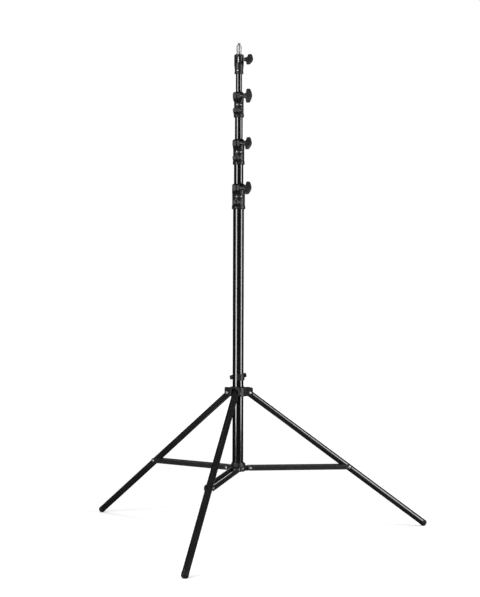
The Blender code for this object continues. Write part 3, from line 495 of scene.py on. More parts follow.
def cut_out(mesh, cutters):
    """A mesh with cutters taken out, its edges kept crisp."""
    thing = temporary(mesh)
    return applied(thing, combine(thing, "DIFFERENCE", cutters))


def carved(solids, cutters, grain, rounds=4, keep=0.3):
    """Solids run together, cut out, and smoothed like a casting whose edges were soft in the mould."""
    thing = temporary(solids[0])
    helpers = combine(thing, "UNION", solids[1:]) + combine(thing, "DIFFERENCE", cutters)
    cells = thing.modifiers.new("cells", "REMESH")
    cells.mode = "VOXEL"
    cells.voxel_size = grain
    smooth = thing.modifiers.new("smooth", "SMOOTH")
    smooth.iterations = rounds
    smooth.factor = 0.5
    fewer = thing.modifiers.new("fewer", "DECIMATE")
    fewer.ratio = keep
    return applied(thing, helpers)


def add_piece(name, shape, place, finish, nodes, body=None, sharp=35.0):
    """Puts a piece in its place, on its body, in its finish, and lets it stand for its CAD nodes."""
    if isinstance(shape, bmesh.types.BMesh):
        data = bpy.data.meshes.new(name)
        shape.to_mesh(data)
        shape.free()
    else:
        data = shape
    data.shade_smooth()
    if sharp:
        data.set_sharp_from_angle(angle=math.radians(sharp))
    data.materials.clear()
    data.materials.append(finish_of(finish))
    thing = bpy.data.objects.new(name, data)
    bpy.context.scene.collection.objects.link(thing)
    thing.matrix_world = place
    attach(thing, body or BODY_OF[nodes[0]])
    if nodes:
        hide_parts(*nodes)
    return thing


# Finishes

class Wire:
    """An output in a node tree; arithmetic on it adds Math nodes."""

    def __init__(self, tree, socket):
        self.tree = tree
        self.socket = socket

    def math(self, operation, first, second):
        return self.tree.add("ShaderNodeMath", {"operation": operation}, {0: first, 1: second})

    def __add__(self, other):
        return self.math("ADD", self, other)

    def __sub__(self, other):
        return self.math("SUBTRACT", self, other)

    def __mul__(self, other):
        return self.math("MULTIPLY", self, other)

    def __rsub__(self, other):
        return self.math("SUBTRACT", other, self)

    __radd__ = __add__
    __rmul__ = __mul__

    def either(self, other):
        """The greater of two values."""
        return self.math("MAXIMUM", self, other)

    def between(self, low, high):
        """0 below low, 1 above high."""
        return self.tree.add("ShaderNodeMapRange", {"clamp": True},
                             {"Value": self, "From Min": low, "From Max": high})


class Tree:
    """A node tree that is written in Python."""

    def __init__(self, tree):
        self.tree = tree

    def add(self, kind, settings, sockets, output=0):
        """A node, its settings, then the values or wires of its sockets; gives one of its outputs."""
        node = self.tree.nodes.new(kind)
        for name, value in settings.items():
            setattr(node, name, value)
        for name, value in sockets.items():
            self.feed(node.inputs[name], value)
        return Wire(self, node.outputs[output])

    def feed(self, socket, value):
        if isinstance(value, Wire):
            self.tree.links.new(value.socket, socket)
        else:
            socket.default_value = value

    def surface_point(self, stretch=(1.0, 1.0, 1.0)):
        """Where on the piece a point lies, stretched along the piece's own axes."""
        point = self.add("ShaderNodeTexCoord", {}, {}, "Object")
        return self.add("ShaderNodeVectorMath", {"operation": "MULTIPLY"}, {0: point, 1: stretch})

    def noise(self, scale, stretch=(1.0, 1.0, 1.0), detail=2.0):
        return self.add("ShaderNodeTexNoise", {}, {"Vector": self.surface_point(stretch), "Scale": scale,
                                                    "Detail": detail, "Roughness": 0.6})

    def tint(self, amount, first, second):
        return self.add("ShaderNodeMix", {"data_type": "RGBA"},
                        {0: amount, 6: opaque(first), 7: opaque(second)}, 2)

    def ray(self, kind):
        """1 where light of one kind arrives, 0 elsewhere."""
        return self.add("ShaderNodeLightPath", {}, {}, f"Is {kind} Ray")

    def edges(self, low, high):
        """Where the surface turns sharply outwards."""
        return self.add("ShaderNodeNewGeometry", {}, {}, "Pointiness").between(low, high)

    def bump(self, height, depth, strength):
        return self.add("ShaderNodeBump", {}, {"Height": height, "Distance": depth, "Strength": strength})


def opaque(value):
    return value if isinstance(value, Wire) else (*value[:3], 1.0)


def scaled(paint, factor):
    return [value * factor for value in paint]


def painted(name, constants):
    """A new material with its unchanging values set, as a tree and its shader."""
    material = bpy.data.materials.new(name)
    material.use_nodes = True
    shader = material.node_tree.nodes["Principled BSDF"]
    for socket, value in constants.items():
        shader.inputs[socket].default_value = value
    return material, Tree(material.node_tree), shader.inputs


def gloss_tube(name, paint, dullness):
    """Gloss paint on a drawn tube: fine lines along it, faint smudges, a little dust."""
    material, tree, shader = painted(name, {"Specular IOR Level": 0.60})
    lines = tree.noise(1500.0, (1.0, 1.0, 0.004))
    smudge = tree.noise(14.0, (1.0, 1.0, 0.5), 4.0).between(0.45, 0.75)
    specks = tree.noise(700.0, detail=1.0).between(0.76, 0.84)
    dusty = [value * 2.0 + 0.002 for value in paint]
    tree.feed(shader["Base Color"], tree.tint(smudge * 0.5 + specks * 0.3, paint, dusty))
    tree.feed(shader["Roughness"], lines * 0.04 + smudge * 0.06 + specks * 0.1 + dullness)
    tree.feed(shader["Normal"], tree.bump(lines, 0.000004, 0.3))
    return material


def tube_finish(colours):
    """The mast's tubes."""
    return gloss_tube("tube_gloss_black", colours.tube, 0.12)


def leg_finish(colours):
    """The legs' tubes."""
    return gloss_tube("leg_gloss_black", colours.leg, 0.20)


def casting_finish(colours):
    """Satin black over a die casting: fine grain, slow unevenness, bare metal at the edges."""
    material, tree, shader = painted("casting_satin_black", {"Specular IOR Level": 0.29})
    grain = tree.noise(2200.0, detail=3.0)
    waves = tree.noise(160.0)
    worn = tree.edges(0.54, 0.62) * tree.noise(300.0, detail=4.0).between(0.42, 0.62)
    base = tree.tint(waves, colours.casting, scaled(colours.casting, 1.35))
    tree.feed(shader["Base Color"], tree.tint(worn * 0.45, base, colours.casting_worn))
    tree.feed(shader["Metallic"], worn * 0.6)
    tree.feed(shader["Roughness"], waves * 0.10 + grain * 0.08 + worn * -0.08 + 0.30)
    tree.feed(shader["Normal"], tree.bump(grain * 0.5 + waves, 0.00003, 0.4))
    return material


def strap_finish(colours):
    """Black painted steel strap: rolled lines along it, paint rubbed thin at its edges."""
    material, tree, shader = painted("strap_black", {"Specular IOR Level": 0.4})
    lines = tree.noise(1100.0, (0.01, 1.0, 1.0))
    waves = tree.noise(60.0, (0.4, 1.0, 1.0), 3.0)
    worn = tree.edges(0.53, 0.60) * tree.noise(220.0, (0.3, 1.0, 1.0), 3.0).between(0.45, 0.60)
    base = tree.tint(waves, colours.strap, scaled(colours.strap, 1.5))
    tree.feed(shader["Base Color"], tree.tint(worn * 0.15, base, colours.strap_worn))
    tree.feed(shader["Metallic"], worn * 0.2)
    tree.feed(shader["Roughness"], lines * 0.12 + waves * 0.08 + 0.24)
    tree.feed(shader["Normal"], tree.bump(lines, 0.00002, 0.5))
    return material


def knob_finish(colours):
    """Charcoal moulded plastic: spark-eroded grain, handled smooth on the high spots."""
    material, tree, shader = painted("knob_charcoal", {"Specular IOR Level": 0.28})
    grain = tree.noise(2600.0)
    waves = tree.noise(120.0)
    handled = tree.edges(0.50, 0.60)
    base = tree.tint(waves, colours.knob, scaled(colours.knob, 1.4))
    tree.feed(shader["Base Color"], tree.tint(handled * 0.3, base, scaled(colours.knob, 2.0)))
    tree.feed(shader["Roughness"], grain * 0.14 + waves * 0.06 + handled * -0.12 + 0.40)
    tree.feed(shader["Normal"], tree.bump(grain, 0.00004, 0.4))
    return material


def nylon_finish(colours):
    """Moulded nylon: a faint flow pattern and fine turning marks."""
    material, tree, shader = painted("inner_nylon", {"Specular IOR Level": 0.45})
    flow = tree.noise(90.0, (1.0, 1.0, 0.3), 3.0)
    rings = tree.noise(1800.0, (0.02, 0.02, 1.0))
    tree.feed(shader["Base Color"], tree.tint(flow, colours.nylon, scaled(colours.nylon, 1.5)))
    tree.feed(shader["Roughness"], flow * 0.15 + rings * 0.1 + 0.38)
    tree.feed(shader["Normal"], tree.bump(rings, 0.00003, 0.5))
    return material


def rubber_finish(colours):
    """Dull rubber with moulded pores and a little dust."""
    material, tree, shader = painted("foot_rubber", {"Specular IOR Level": 0.2})
    pores = tree.noise(1600.0, detail=3.0)
    cloud = tree.noise(110.0, detail=4.0)
    dusty = cloud.between(0.50, 0.72)
    tree.feed(shader["Base Color"], tree.tint(dusty * 0.22, colours.rubber, colours.dust))
    tree.feed(shader["Roughness"], pores * 0.12 + dusty * 0.14 + 0.55)
    tree.feed(shader["Normal"], tree.bump(pores * 0.7 + cloud, 0.00008, 0.6))
    return material


def steel_finish(colours):
    """Satin steel with turning marks round its axis and a faint cloudiness."""
    material, tree, shader = painted("bright_steel", {"Metallic": 1.0})
    rings = tree.noise(2400.0, (0.02, 0.02, 1.0))
    cloud = tree.noise(260.0, detail=3.0)
    tree.feed(shader["Base Color"], tree.tint(cloud, scaled(colours.steel, 0.78), colours.steel))
    tree.feed(shader["Roughness"], rings * 0.10 + cloud * 0.10 + 0.44)
    tree.feed(shader["Normal"], tree.bump(rings, 0.00001, 0.4))
    return material


def brass_finish(colours):
    """Sawn and turned brass, a little dull."""
    material, tree, shader = painted("pad_brass", {"Metallic": 1.0})
    rings = tree.noise(2000.0, (0.05, 0.05, 1.0))
    cloud = tree.noise(300.0, detail=3.0)
    tree.feed(shader["Base Color"], tree.tint(cloud, scaled(colours.brass, 0.7), colours.brass))
    tree.feed(shader["Roughness"], rings * 0.2 + cloud * 0.15 + 0.22)
    tree.feed(shader["Normal"], tree.bump(rings, 0.00002, 0.5))
    return material


FINISHES = {
    "tube": tube_finish,
    "leg": leg_finish,
    "casting": casting_finish,
    "strap": strap_finish,
    "knob": knob_finish,
    "nylon": nylon_finish,
    "rubber": rubber_finish,
    "steel": steel_finish,
    "brass": brass_finish,
}
made_finishes = {}


def finish_of(name):
    """A finish, made the first time that a piece asks for it."""
    if name not in made_finishes:
        made_finishes[name] = FINISHES[name](bpy.context.scene.stand_colours)
    return made_finishes[name]


# Small pieces that come several times

def dome(radius, low, height):
    """Outline of a domed head from its rim to the axis."""
    rim = height * 0.35
    crown = [(radius * math.cos(turn), low + rim + (height - rim) * math.sin(turn))
             for turn in (math.radians(step * 11.25) for step in range(8))]
    return [(radius, low)] + crown + [(0.0, low + height)]


def face_screw(name, place, radius, height, shank, foot, nodes, body=None):
    """A bright pan-head screw along Z, seated at Z = 0, with a cross recess for a screwdriver."""
    depth = height * 0.6
    arm, half = radius * 0.62, radius * 0.13
    cross = [block((-x, -y, height - depth), (x, y, height + 2.0 * depth)) for x, y in ((arm, half), (half, arm))]
    screw = turned([(0.0, foot), (shank, foot), (shank, 0.0)] + dome(radius, 0.0, height), SCREW_SIDES)
    return add_piece(name, cut_out(screw, cross), place, "steel", nodes, body, 25.0)


def fixing_screw(name, node):
    """The screw that holds a casting to its tube, its head standing out of the casting."""
    head, shank = 0.0014, 0.0018
    place = axes(middle(node), outward(node).normalized(), UP)
    low, high = span(node, place)
    face_screw(name, place @ raised(high.z - head), (high.x - low.x) / 2.0, head, shank,
               low.z - high.z + head, [node])


def hex_head(radius, low, high):
    """A hexagon head whose corners are turned off towards its top."""
    outline = eased(hexagon(radius), radius * 0.12, 2)
    rows = ((low, 1.0), (high - (high - low) * 0.22, 1.0), (high, 0.88))
    return lofted([[(x * grow, y * grow, z) for x, y in outline] for z, grow in rows])


def washer(inner, outer, high):
    ease = high * 0.25
    return turned([(inner, 0.0), (outer - ease, 0.0), (outer, ease), (outer, high - ease), (outer - ease, high),
                   (inner, high)], RING_SIDES)


def rivet_shape(half, radius, head, height):
    """A rivet along Z through the origin, with a domed head at each end."""
    upper = [(radius, half)] + dome(head, half, height)
    return turned([(r, -z) for r, z in reversed(upper)] + upper, SCREW_SIDES)


def tube(node, place, sizes, finish="tube"):
    """An open tube with its cut edges broken."""
    low, high = span(node, place)
    outer = (high.x - low.x) / 2.0
    inner = outer - sizes.tube_wall
    ease = sizes.tube_wall / 4.0
    outline = [(inner, low.z + ease), (inner + ease, low.z), (outer - ease, low.z), (outer, low.z + ease),
               (outer, high.z - ease), (outer - ease, high.z), (inner + ease, high.z), (inner, high.z - ease)]
    return add_piece(f"{node}_drawn", turned(outline, TUBE_SIDES), place, finish, [node])


def dense_profile(outline, step):
    """An outline with points added so that no straight run is longer than a step."""
    dense = []
    for here, after in zip(outline, outline[1:]):
        run = (Vector(after) - Vector(here)).length
        parts = max(1, round(run / step)) if here[0] > ON_AXIS and after[0] > ON_AXIS else 1
        dense += [tuple(Vector(here).lerp(Vector(after), part / parts)) for part in range(parts)]
    return dense + [outline[-1]]


def thread(pitch, depth, low, high):
    """How much a thread takes off the radius at a height and an angle."""
    def groove(height, turn):
        if not low <= height <= high:
            return 0.0
        phase = (height / pitch - turn / math.tau) % 1.0
        return depth * (1.0 - abs(2.0 * phase - 1.0))
    return groove


def pivot_hole(sizes, turn, out):
    """Cutter of a rivet's hole, across a lug that leaves the mast at a turn."""
    half = 0.03
    return moved(rod(sizes.shank_radius + sizes.seat_gap, -half, half, HOLE_SIDES),
                 turn @ Matrix.Translation((out, 0.0, 0.0)) @ ALONG_Y)


# Operators: one for each piece or group of like pieces

class StandMastTubes(bpy.types.Operator):
    """The base tube and the three risers"""
    bl_idname = "light_stand.mast_tubes"
    bl_label = "Mast tubes"

    def execute(self, context):
        for node in TUBES:
            tube(node, mast_at(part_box(node)[0].z), context.scene.stand_sizes)
        return {"FINISHED"}


def ear_pair(left, right, corner, sections):
    """A clamp's two ears as one block, lofted outwards; a section is (how far out, lowest, highest)."""
    rings = []
    for out, low, high in sections:
        rings.append([(-left, -out, low + corner), (-left + corner, -out, low), (right - corner, -out, low),
                      (right, -out, low + corner), (right, -out, high - corner), (right - corner, -out, high),
                      (-left + corner, -out, high), (-left, -out, high - corner)])
    return lofted(rings)


class StandMastClamps(bpy.types.Operator):
    """The three split clamps on the mast and their face screws"""
    bl_idname = "light_stand.mast_clamps"
    bl_label = "Mast clamps"

    def execute(self, context):
        for number in CLAMPS:
            self.clamp(number, context.scene.stand_sizes)
        return {"FINISHED"}

    def clamp(self, number, sizes):
        node, bolt, pinch = (f"lock_{number}_{part}" for part in ("clamp", "bolt", "pinch_screw"))
        low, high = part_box(node)
        place = mast_at(low.z)
        height = high.z - low.z
        gap = sizes.seat_gap
        riser = radius_of(TUBES[number])
        low_bore = radius_of(TUBES[number - 1]) + gap
        low_radius = low_bore + sizes.casting_wall
        high_bore = riser + 2.0 * gap + sizes.sleeve_wall
        high_radius = high_bore + sizes.casting_wall
        reach = place.translation.y - low.y
        left = place.translation.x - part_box(bolt)[0].x
        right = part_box(f"lock_{number}_washer")[0].x - gap - place.translation.x

        # The two barrels, turned as one
        shoulder = sizes.clamp_shoulder
        rim = 0.0015
        waist = low_radius - 0.0012
        foot = height - sizes.upper_ear_foot
        ear_low, ear_top = sizes.lower_ear_low, sizes.lower_ear_top
        outline = [(0.0, 0.0), (low_radius - rim, 0.0), (low_radius, rim), (low_radius, ear_low + 0.002),
                   (waist, ear_low + 0.004), (waist, foot), (high_radius, foot + 0.003),
                   (high_radius, height - shoulder), (high_radius - shoulder, height), (0.0, height)]
        solids = [turned(outline, TUBE_SIDES)]

        # The upper and the lower ears
        face_top = height - sizes.upper_ear_drop
        face_low = face_top - sizes.upper_ear_face
        top = height - sizes.ear_corner
        slope = (reach - low_radius) * 0.55
        knee = foot + (face_low - foot) * slope / (reach - low_radius)
        solids.append(ear_pair(left, right, sizes.ear_corner, [
            (0.0, foot, top), (low_radius, foot, top), (reach - 0.0045, knee, top), (reach, face_low, face_top)]))
        lower = reach - sizes.lower_ear_back
        soft = 0.001
        solids.append(ear_pair(left, right, sizes.ear_corner, [
            (0.0, ear_low, ear_top), (low_radius, ear_low, ear_top),
            (lower - soft, sizes.lower_ear_face - soft, ear_top), (lower, sizes.lower_ear_face, ear_top - soft)]))

        # The bosses of the face screws
        out = low_radius + sizes.boss_out
        recess = out - 0.0012
        ease = 0.0006
        for side in SCREW_TURNS:
            boss = [(0.0, high_bore), (sizes.boss_radius, high_bore), (sizes.boss_radius, out - ease),
                    (sizes.boss_radius - ease, out), (0.0, out)]
            solids.append(moved(turned(boss, SCREW_SIDES), level(side, sizes.boss_height)))

        # The slit, the stepped bore, and the holes and pockets of the fasteners
        far = 3.0 * reach
        half = sizes.slit / 2.0
        seat = sizes.tube_seat + gap
        lip = height - 0.0025
        bore = [(0.0, -far), (low_bore, -far), (low_bore, seat), (high_bore, seat), (high_bore, lip),
                (riser + 2.0 * gap, lip), (riser + 2.0 * gap, far), (0.0, far)]
        bolt_low, bolt_high = span(bolt, place)
        pinch_low, pinch_high = span(pinch, place)
        head = (bolt_high.z - bolt_low.z) / 2.0 + gap
        pocket = prism(eased(hexagon(head * 1.155), 0.0002, 1), -far, 0.0043 - left)
        cutters = [block((-half, -far, foot), (half, -riser, far)),
                   block((-half, -far, -far), (half, -riser, ear_top + 0.0015)),
                   turned(bore, TUBE_SIDES),
                   self.across(rod(sizes.shank_radius + gap, -far, far, HOLE_SIDES), bolt, place),
                   self.across(pocket, bolt, place),
                   self.across(rod((pinch_high.z - pinch_low.z) / 2.0 + gap, right - 0.0028, far, HOLE_SIDES),
                               pinch, place)]
        cutters += [moved(rod(sizes.boss_recess, recess, far, PIN_SIDES), level(side, sizes.boss_height))
                    for side in SCREW_TURNS]
        shape = carved(solids, cutters, sizes.casting_grain)
        add_piece(f"clamp_{number}_casting", shape, place, "casting", [node], sharp=None)

        for count, side in enumerate(SCREW_TURNS, start=1):
            seat_place = place @ level(side, sizes.boss_height) @ raised(recess + gap)
            face_screw(f"clamp_{number}_face_screw_{count}", seat_place, sizes.screw_radius, 0.0016, 0.0015,
                       -0.0002, [], BODY_OF[node])

    def across(self, mesh, node, place):
        """A cutter turned from Z to +X, on the axis of one fastener."""
        centre = place.inverted() @ middle(node)
        return moved(mesh, Matrix.Translation((0.0, centre.y, centre.z)) @ ALONG_X)


class StandClampFasteners(bpy.types.Operator):
    """The bolts, pinch screws and washers of the clamps"""
    bl_idname = "light_stand.clamp_fasteners"
    bl_label = "Clamp fasteners"

    def execute(self, context):
        sizes = context.scene.stand_sizes
        for number in CLAMPS:
            node = f"lock_{number}_bolt"
            place, length, radius = self.measures(node, 0)
            ease, shank = 0.0005, sizes.shank_radius
            stem = turned([(0.0, ease), (shank, ease), (shank, length - ease), (shank - ease, length),
                           (0.0, length)], PIN_SIDES)
            shape = joined([hex_head(radius, 0.0, BOLT_HEAD), stem])
            add_piece(f"clamp_{number}_bolt", shape, place, "steel", [node])

            node = f"lock_{number}_pinch_screw"
            place, length, radius = self.measures(node, 1)
            ease, shank, head = 0.0004, 0.002, -0.0025
            outline = [(0.0, -length), (shank - 0.0002, -length), (shank, -length + 0.0003), (shank, head),
                       (radius, head), (radius, -ease), (radius - ease, 0.0), (0.0, 0.0)]
            key = prism(hexagon(0.0017), -0.0015, 0.01)
            shape = cut_out(turned(outline, SCREW_SIDES), [key])
            add_piece(f"clamp_{number}_pinch_screw", shape, place, "steel", [node], sharp=25.0)

            node = f"lock_{number}_washer"
            place, length, radius = self.measures(node, 0)
            shape = washer(sizes.shank_radius + sizes.seat_gap, radius, length)
            add_piece(f"clamp_{number}_washer", shape, place, "steel", [node], sharp=25.0)
        return {"FINISHED"}

    def measures(self, node, end):
        """A fastener's frame at its left (0) or right (1) end, its length and its radius."""
        low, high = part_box(node)
        return sideways(node, (low, high)[end].x), high.x - low.x, (high.z - low.z) / 2.0


def knob_shape(node, place, sizes, bore):
    """A T-shaped hand knob along +Z: an oval neck that flares into a crowned wing with grooved flanks."""
    low, high = span(node, place @ Matrix.Rotation(wing_turn(node, place), 4, "Z"))
    half = (high.x - low.x) / 2.0 - sizes.knob_end
    width = (high.y - low.y) / 2.0
    crown = high.z - low.z + sizes.knob_crown
    root = high.z - low.z - sizes.knob_depth
    stations = []
    for step in range(-KNOB_STATIONS, KNOB_STATIONS + 1):
        along = step / KNOB_STATIONS
        end = abs(along)
        over = max(end - sizes.knob_rounding, 0.0) / (1.0 - sizes.knob_rounding)
        shrink = 1.0 - sizes.knob_rounding_depth * over ** 2
        inside = root + sizes.knob_lift * end ** 2
        outside = crown - sizes.knob_fall * end ** 1.7
        side = width * (1.0 - sizes.knob_taper * end ** 2) * shrink
        centre = (inside + outside) / 2.0
        depth = (outside - inside) / 2.0 * shrink
        groove = 1.0 - (sizes.knob_ridge / width if end < sizes.knob_rounding else 0.0)
        # From the root (-1) to the crown (1), and how much of the width is left there
        flank = [(-1.0, 0.74), (-0.86, 0.92), (-0.60, 1.0), (-0.44, 1.0), (-0.38, groove), (-0.18, groove),
                 (-0.12, 1.0), (0.12, 1.0), (0.18, groove), (0.38, groove), (0.44, 1.0), (0.62, 0.98),
                 (0.84, 0.84), (1.0, 0.52)]
        ring = [(along * half, side * aside, centre + depth * height) for height, aside in flank]
        ring += [(along * half, -side * aside, centre + depth * height) for height, aside in reversed(flank)]
        stations.append(ring)
    foot = knob_foot_radius(node, place)
    neck = []
    # From the foot (0) to the wing's root (1), and how much wider than the foot the neck is both ways
    for part, long_way, short_way in ((0.0, 0.94, 0.94), (0.05, 1.0, 1.0), (0.14, 1.0, 1.0), (0.22, 1.10, 1.0),
                                      (0.50, 1.18, 1.0), (0.78, 1.36, 1.02), (1.0, 1.85, 1.05), (1.25, 2.1, 1.0)):
        across = min(foot * short_way, width - sizes.knob_edge)
        neck.append([(foot * long_way * math.cos(turn), across * math.sin(turn), root * part)
                     for turn in (math.tau * side / NECK_SIDES for side in range(NECK_SIDES))])
    hole = rod(bore, -root, root * 0.8, HOLE_SIDES)
    return carved([lofted(stations), lofted(neck)], [hole], sizes.knob_grain, rounds=3, keep=0.35)


class StandKnobs(bpy.types.Operator):
    """The five T-shaped hand knobs, and the screws and pads behind two of them"""
    bl_idname = "light_stand.knobs"
    bl_label = "Knobs"

    def execute(self, context):
        sizes = context.scene.stand_sizes
        for number in CLAMPS:
            node = f"lock_{number}_knob"
            place = sideways(f"lock_{number}_bolt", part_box(node)[0].x)
            self.knob(node, place, sizes, sizes.shank_radius)
        for name in ("top", "collar"):
            node, screw, pad = (f"{name}_{part}" for part in ("knob", "knob_screw", "pad"))
            place = axes(middle(screw), outward(screw).normalized(), UP)
            low, high = span(screw, place)
            radius = (high.x - low.x) / 2.0
            ease = 0.0006
            outline = [(0.0, low.z), (radius - ease, low.z), (radius, low.z + ease), (radius, high.z - ease),
                       (radius - ease, high.z), (0.0, high.z)]
            groove = thread(sizes.thread_pitch, sizes.thread_depth * 0.7, low.z + ease, high.z - ease)
            shape = turned(dense_profile(outline, sizes.thread_pitch / 8.0), PIN_SIDES, groove)
            add_piece(f"{name}_knob_thread", shape, place, "steel", [screw], sharp=50.0)
            low, high = span(pad, place)
            edge = (high.x - low.x) / 2.0
            outline = eased([(0.0, low.z), (edge, low.z), (edge, high.z), (0.0, high.z)], 0.0004, 2, closed=False)
            add_piece(f"{name}_brass_pad", turned(outline, SCREW_SIDES), place, "brass", [pad])
            self.knob(node, place @ raised(span(node, place)[0].z), sizes, radius)
        return {"FINISHED"}

    def knob(self, node, place, sizes, screw):
        turn = wing_turn(node, place)
        shape = knob_shape(node, place, sizes, screw + sizes.seat_gap)
        add_piece(f"{node}_moulding", shape, place @ Matrix.Rotation(turn, 4, "Z"), "knob", [node], sharp=None)


class StandTopReceiver(bpy.types.Operator):
    """The socket casting on top of the mast and its fixing screw"""
    bl_idname = "light_stand.top_receiver"
    bl_label = "Top receiver"

    def execute(self, context):
        sizes = context.scene.stand_sizes
        node, screw = "top_receiver", "top_receiver_screw"
        low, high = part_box(node)
        height = high.z - low.z
        gap = sizes.seat_gap
        radius = radius_of(node)
        neck = radius - 0.0017
        flange = radius - 0.0005
        rounding = 0.0035
        outline = eased([(flange, 0.0), (flange, 0.0045), (neck, 0.0047), (neck, 0.014), (radius, 0.029),
                         (radius, height)], 0.0011, 4, closed=False)
        outline = [(0.0, 0.0), (flange - 0.0008, 0.0)] + outline[1:-1]
        outline += arc((radius - rounding, height - rounding), rounding, 0.0, 90.0, 8) + [(0.0, height)]

        stud = stud_radius() + gap
        riser = radius_of("riser_3_tube") + gap
        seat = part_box("riser_3_tube")[1].z - low.z + gap
        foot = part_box("spigot")[0].z - low.z - gap
        side = azimuth(outward(screw).normalized())
        window = prism(bar(-WINDOW_RUN, WINDOW_RUN, WINDOW_RADIUS), stud * 0.5, FAR)
        cutters = [rod(riser, -FAR, seat, TUBE_SIDES),
                   rod(stud, foot, FAR, TUBE_SIDES),
                   moved(window, level(side, WINDOW_HEIGHT)),
                   moved(rod(0.0023, stud * 0.5, FAR, HOLE_SIDES), level(side, middle(screw).z - low.z)),
                   moved(rod(TAPPED_RADIUS, stud * 0.5, FAR, PIN_SIDES),
                         level(0.0, middle("top_knob_screw").z - low.z))]
        shape = carved([turned(outline, CASTING_SIDES)], cutters, sizes.knob_grain, rounds=3, keep=0.35)
        add_piece("receiver_casting", shape, mast_at(low.z), "casting", [node], sharp=None)
        fixing_screw("receiver_screw", screw)
        return {"FINISHED"}


class StandStud(bpy.types.Operator):
    """The bright stud with its threaded tip, neck and seating ring"""
    bl_idname = "light_stand.stud"
    bl_label = "Stud"

    def execute(self, context):
        sizes = context.scene.stand_sizes
        low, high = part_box("spigot")
        tip = high.z - low.z
        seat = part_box("top_receiver")[1].z + sizes.seat_gap - low.z
        radius = stud_radius()
        ring = radius_of("spigot")
        top = seat + RING_HEIGHT
        shoulder = tip - TIP_LENGTH
        foot = [(0.0, 0.0), (radius - 0.001, 0.0), (radius, 0.001), (radius, seat)]
        collar = [(ring - 0.0004, seat), (ring, seat + 0.0004), (ring, top - 0.0005), (ring - 0.0005, top),
                  (radius + 0.0002, top), (radius, top + 0.0002)]
        neck = [(radius, top + 0.002), (radius - 0.0004, top + 0.0026), (radius - 0.0012, top + 0.0032),
                (radius - 0.0012, top + 0.006), (radius - 0.0004, top + 0.0066), (radius, top + 0.0072)]
        outline = foot + collar + neck + [(radius, shoulder - 0.001), (radius - 0.001, shoulder)]
        core, ease, steps = 0.0047, 0.0009, 40
        run = tip - ease - shoulder
        outline += [(core, shoulder + run * step / steps) for step in range(steps + 1)]
        outline += [(core - ease, tip), (0.0, tip)]
        groove = thread(sizes.thread_pitch, sizes.thread_depth, shoulder + 0.0004, tip - 0.0012)
        shape = turned(outline, STUD_SIDES, groove)
        add_piece("stud_turned", shape, mast_at(low.z), "steel", ["spigot"], sharp=28.0)
        return {"FINISHED"}


class StandLegCollar(bpy.types.Operator):
    """The casting that slides on the base tube and carries the legs"""
    bl_idname = "light_stand.leg_collar"
    bl_label = "Leg collar"

    def execute(self, context):
        sizes = context.scene.stand_sizes
        node = "leg_collar"
        gap = sizes.seat_gap
        pivot = joint_point("leg_1_fold")
        place = mast_at(pivot.z)
        out = (pivot - place.translation).length
        low, high = span(node, place)
        bottom, top = low.z, high.z
        base = radius_of("base_tube")
        leg = leg_radius() + STRAP_GAP
        outer = leg + 0.0035
        bore = base + 2.0 * gap + 0.0012
        slot = bore + 0.0032
        body = bore + 0.005
        crown, neck, shelf = 0.0186, 0.021, 0.018
        solids = [turned(eased([(0.0, bottom), (body, bottom), (body, crown), (slot, crown), (bore + gap, neck),
                                (0.0, neck)], 0.001, 3, closed=False), CASTING_SIDES)]

        # Three pairs of ears, with the legs' slots and pivots
        end = out + 0.0105
        chin = bottom + 0.0006
        rounding = 0.005
        side = [(base + 0.002, chin), (end - 0.012, chin), (end, bottom + 0.0066)]
        side += arc((end - rounding, shelf - rounding), rounding, 0.0, 90.0, 6) + [(base + 0.002, shelf)]
        cutters = []
        for number in LEGS:
            turn = tilt("Z", azimuth(joint_point(f"leg_{number}_fold") - place.translation))
            solids.append(moved(with_edges(prism(side, -outer, outer), LUG_EDGE), turn @ UPRIGHT))
            cutters.append(moved(block((slot, -leg, -0.1), (0.1, leg, 0.1)), turn))
            cutters.append(pivot_hole(sizes, turn, out))

        # The hook-shaped band round the tube, the spine behind it and the boss of the knob's screw
        turn = azimuth(outward("collar_knob_screw"))
        knob = level(turn, middle("collar_knob_screw").z - pivot.z)
        hook_in = base + gap
        hook = hook_in + 0.0033
        start, stop = 126.0, -84.0
        wrap = arc((0.0, 0.0), hook, start, stop, 48) + arc((0.0, 0.0), hook_in - 0.0006, stop, start, 48)
        solids.append(with_edges(prism(wrap, top - HOOK_HEIGHT, top), 0.0006))
        spine = [(bore, 0.0), (hook + 0.0065, 0.0), (hook + 0.0065, top - 0.007), (hook + 0.001, top - 0.0006),
                 (bore, top - 0.0006)]
        solids.append(moved(with_edges(prism(spine, -0.009, 0.009), 0.0012, 3), tilt("Z", turn) @ UPRIGHT))
        face = 0.030
        boss = [(0.0, base + 0.001), (0.0098, base + 0.001), (0.009, face - 0.001), (0.008, face), (0.0, face)]
        solids.append(moved(turned(boss, RING_SIDES), knob))
        cutters += [turned([(0.0, -FAR), (bore, -FAR), (bore, shelf), (hook_in, shelf), (hook_in, FAR),
                            (0.0, FAR)], TUBE_SIDES),
                    moved(rod(TAPPED_RADIUS, 0.005, FAR, PIN_SIDES), knob)]
        shape = carved(solids, cutters, sizes.casting_grain)
        add_piece("collar_casting", shape, place, "casting", [node], sharp=None)
        return {"FINISHED"}


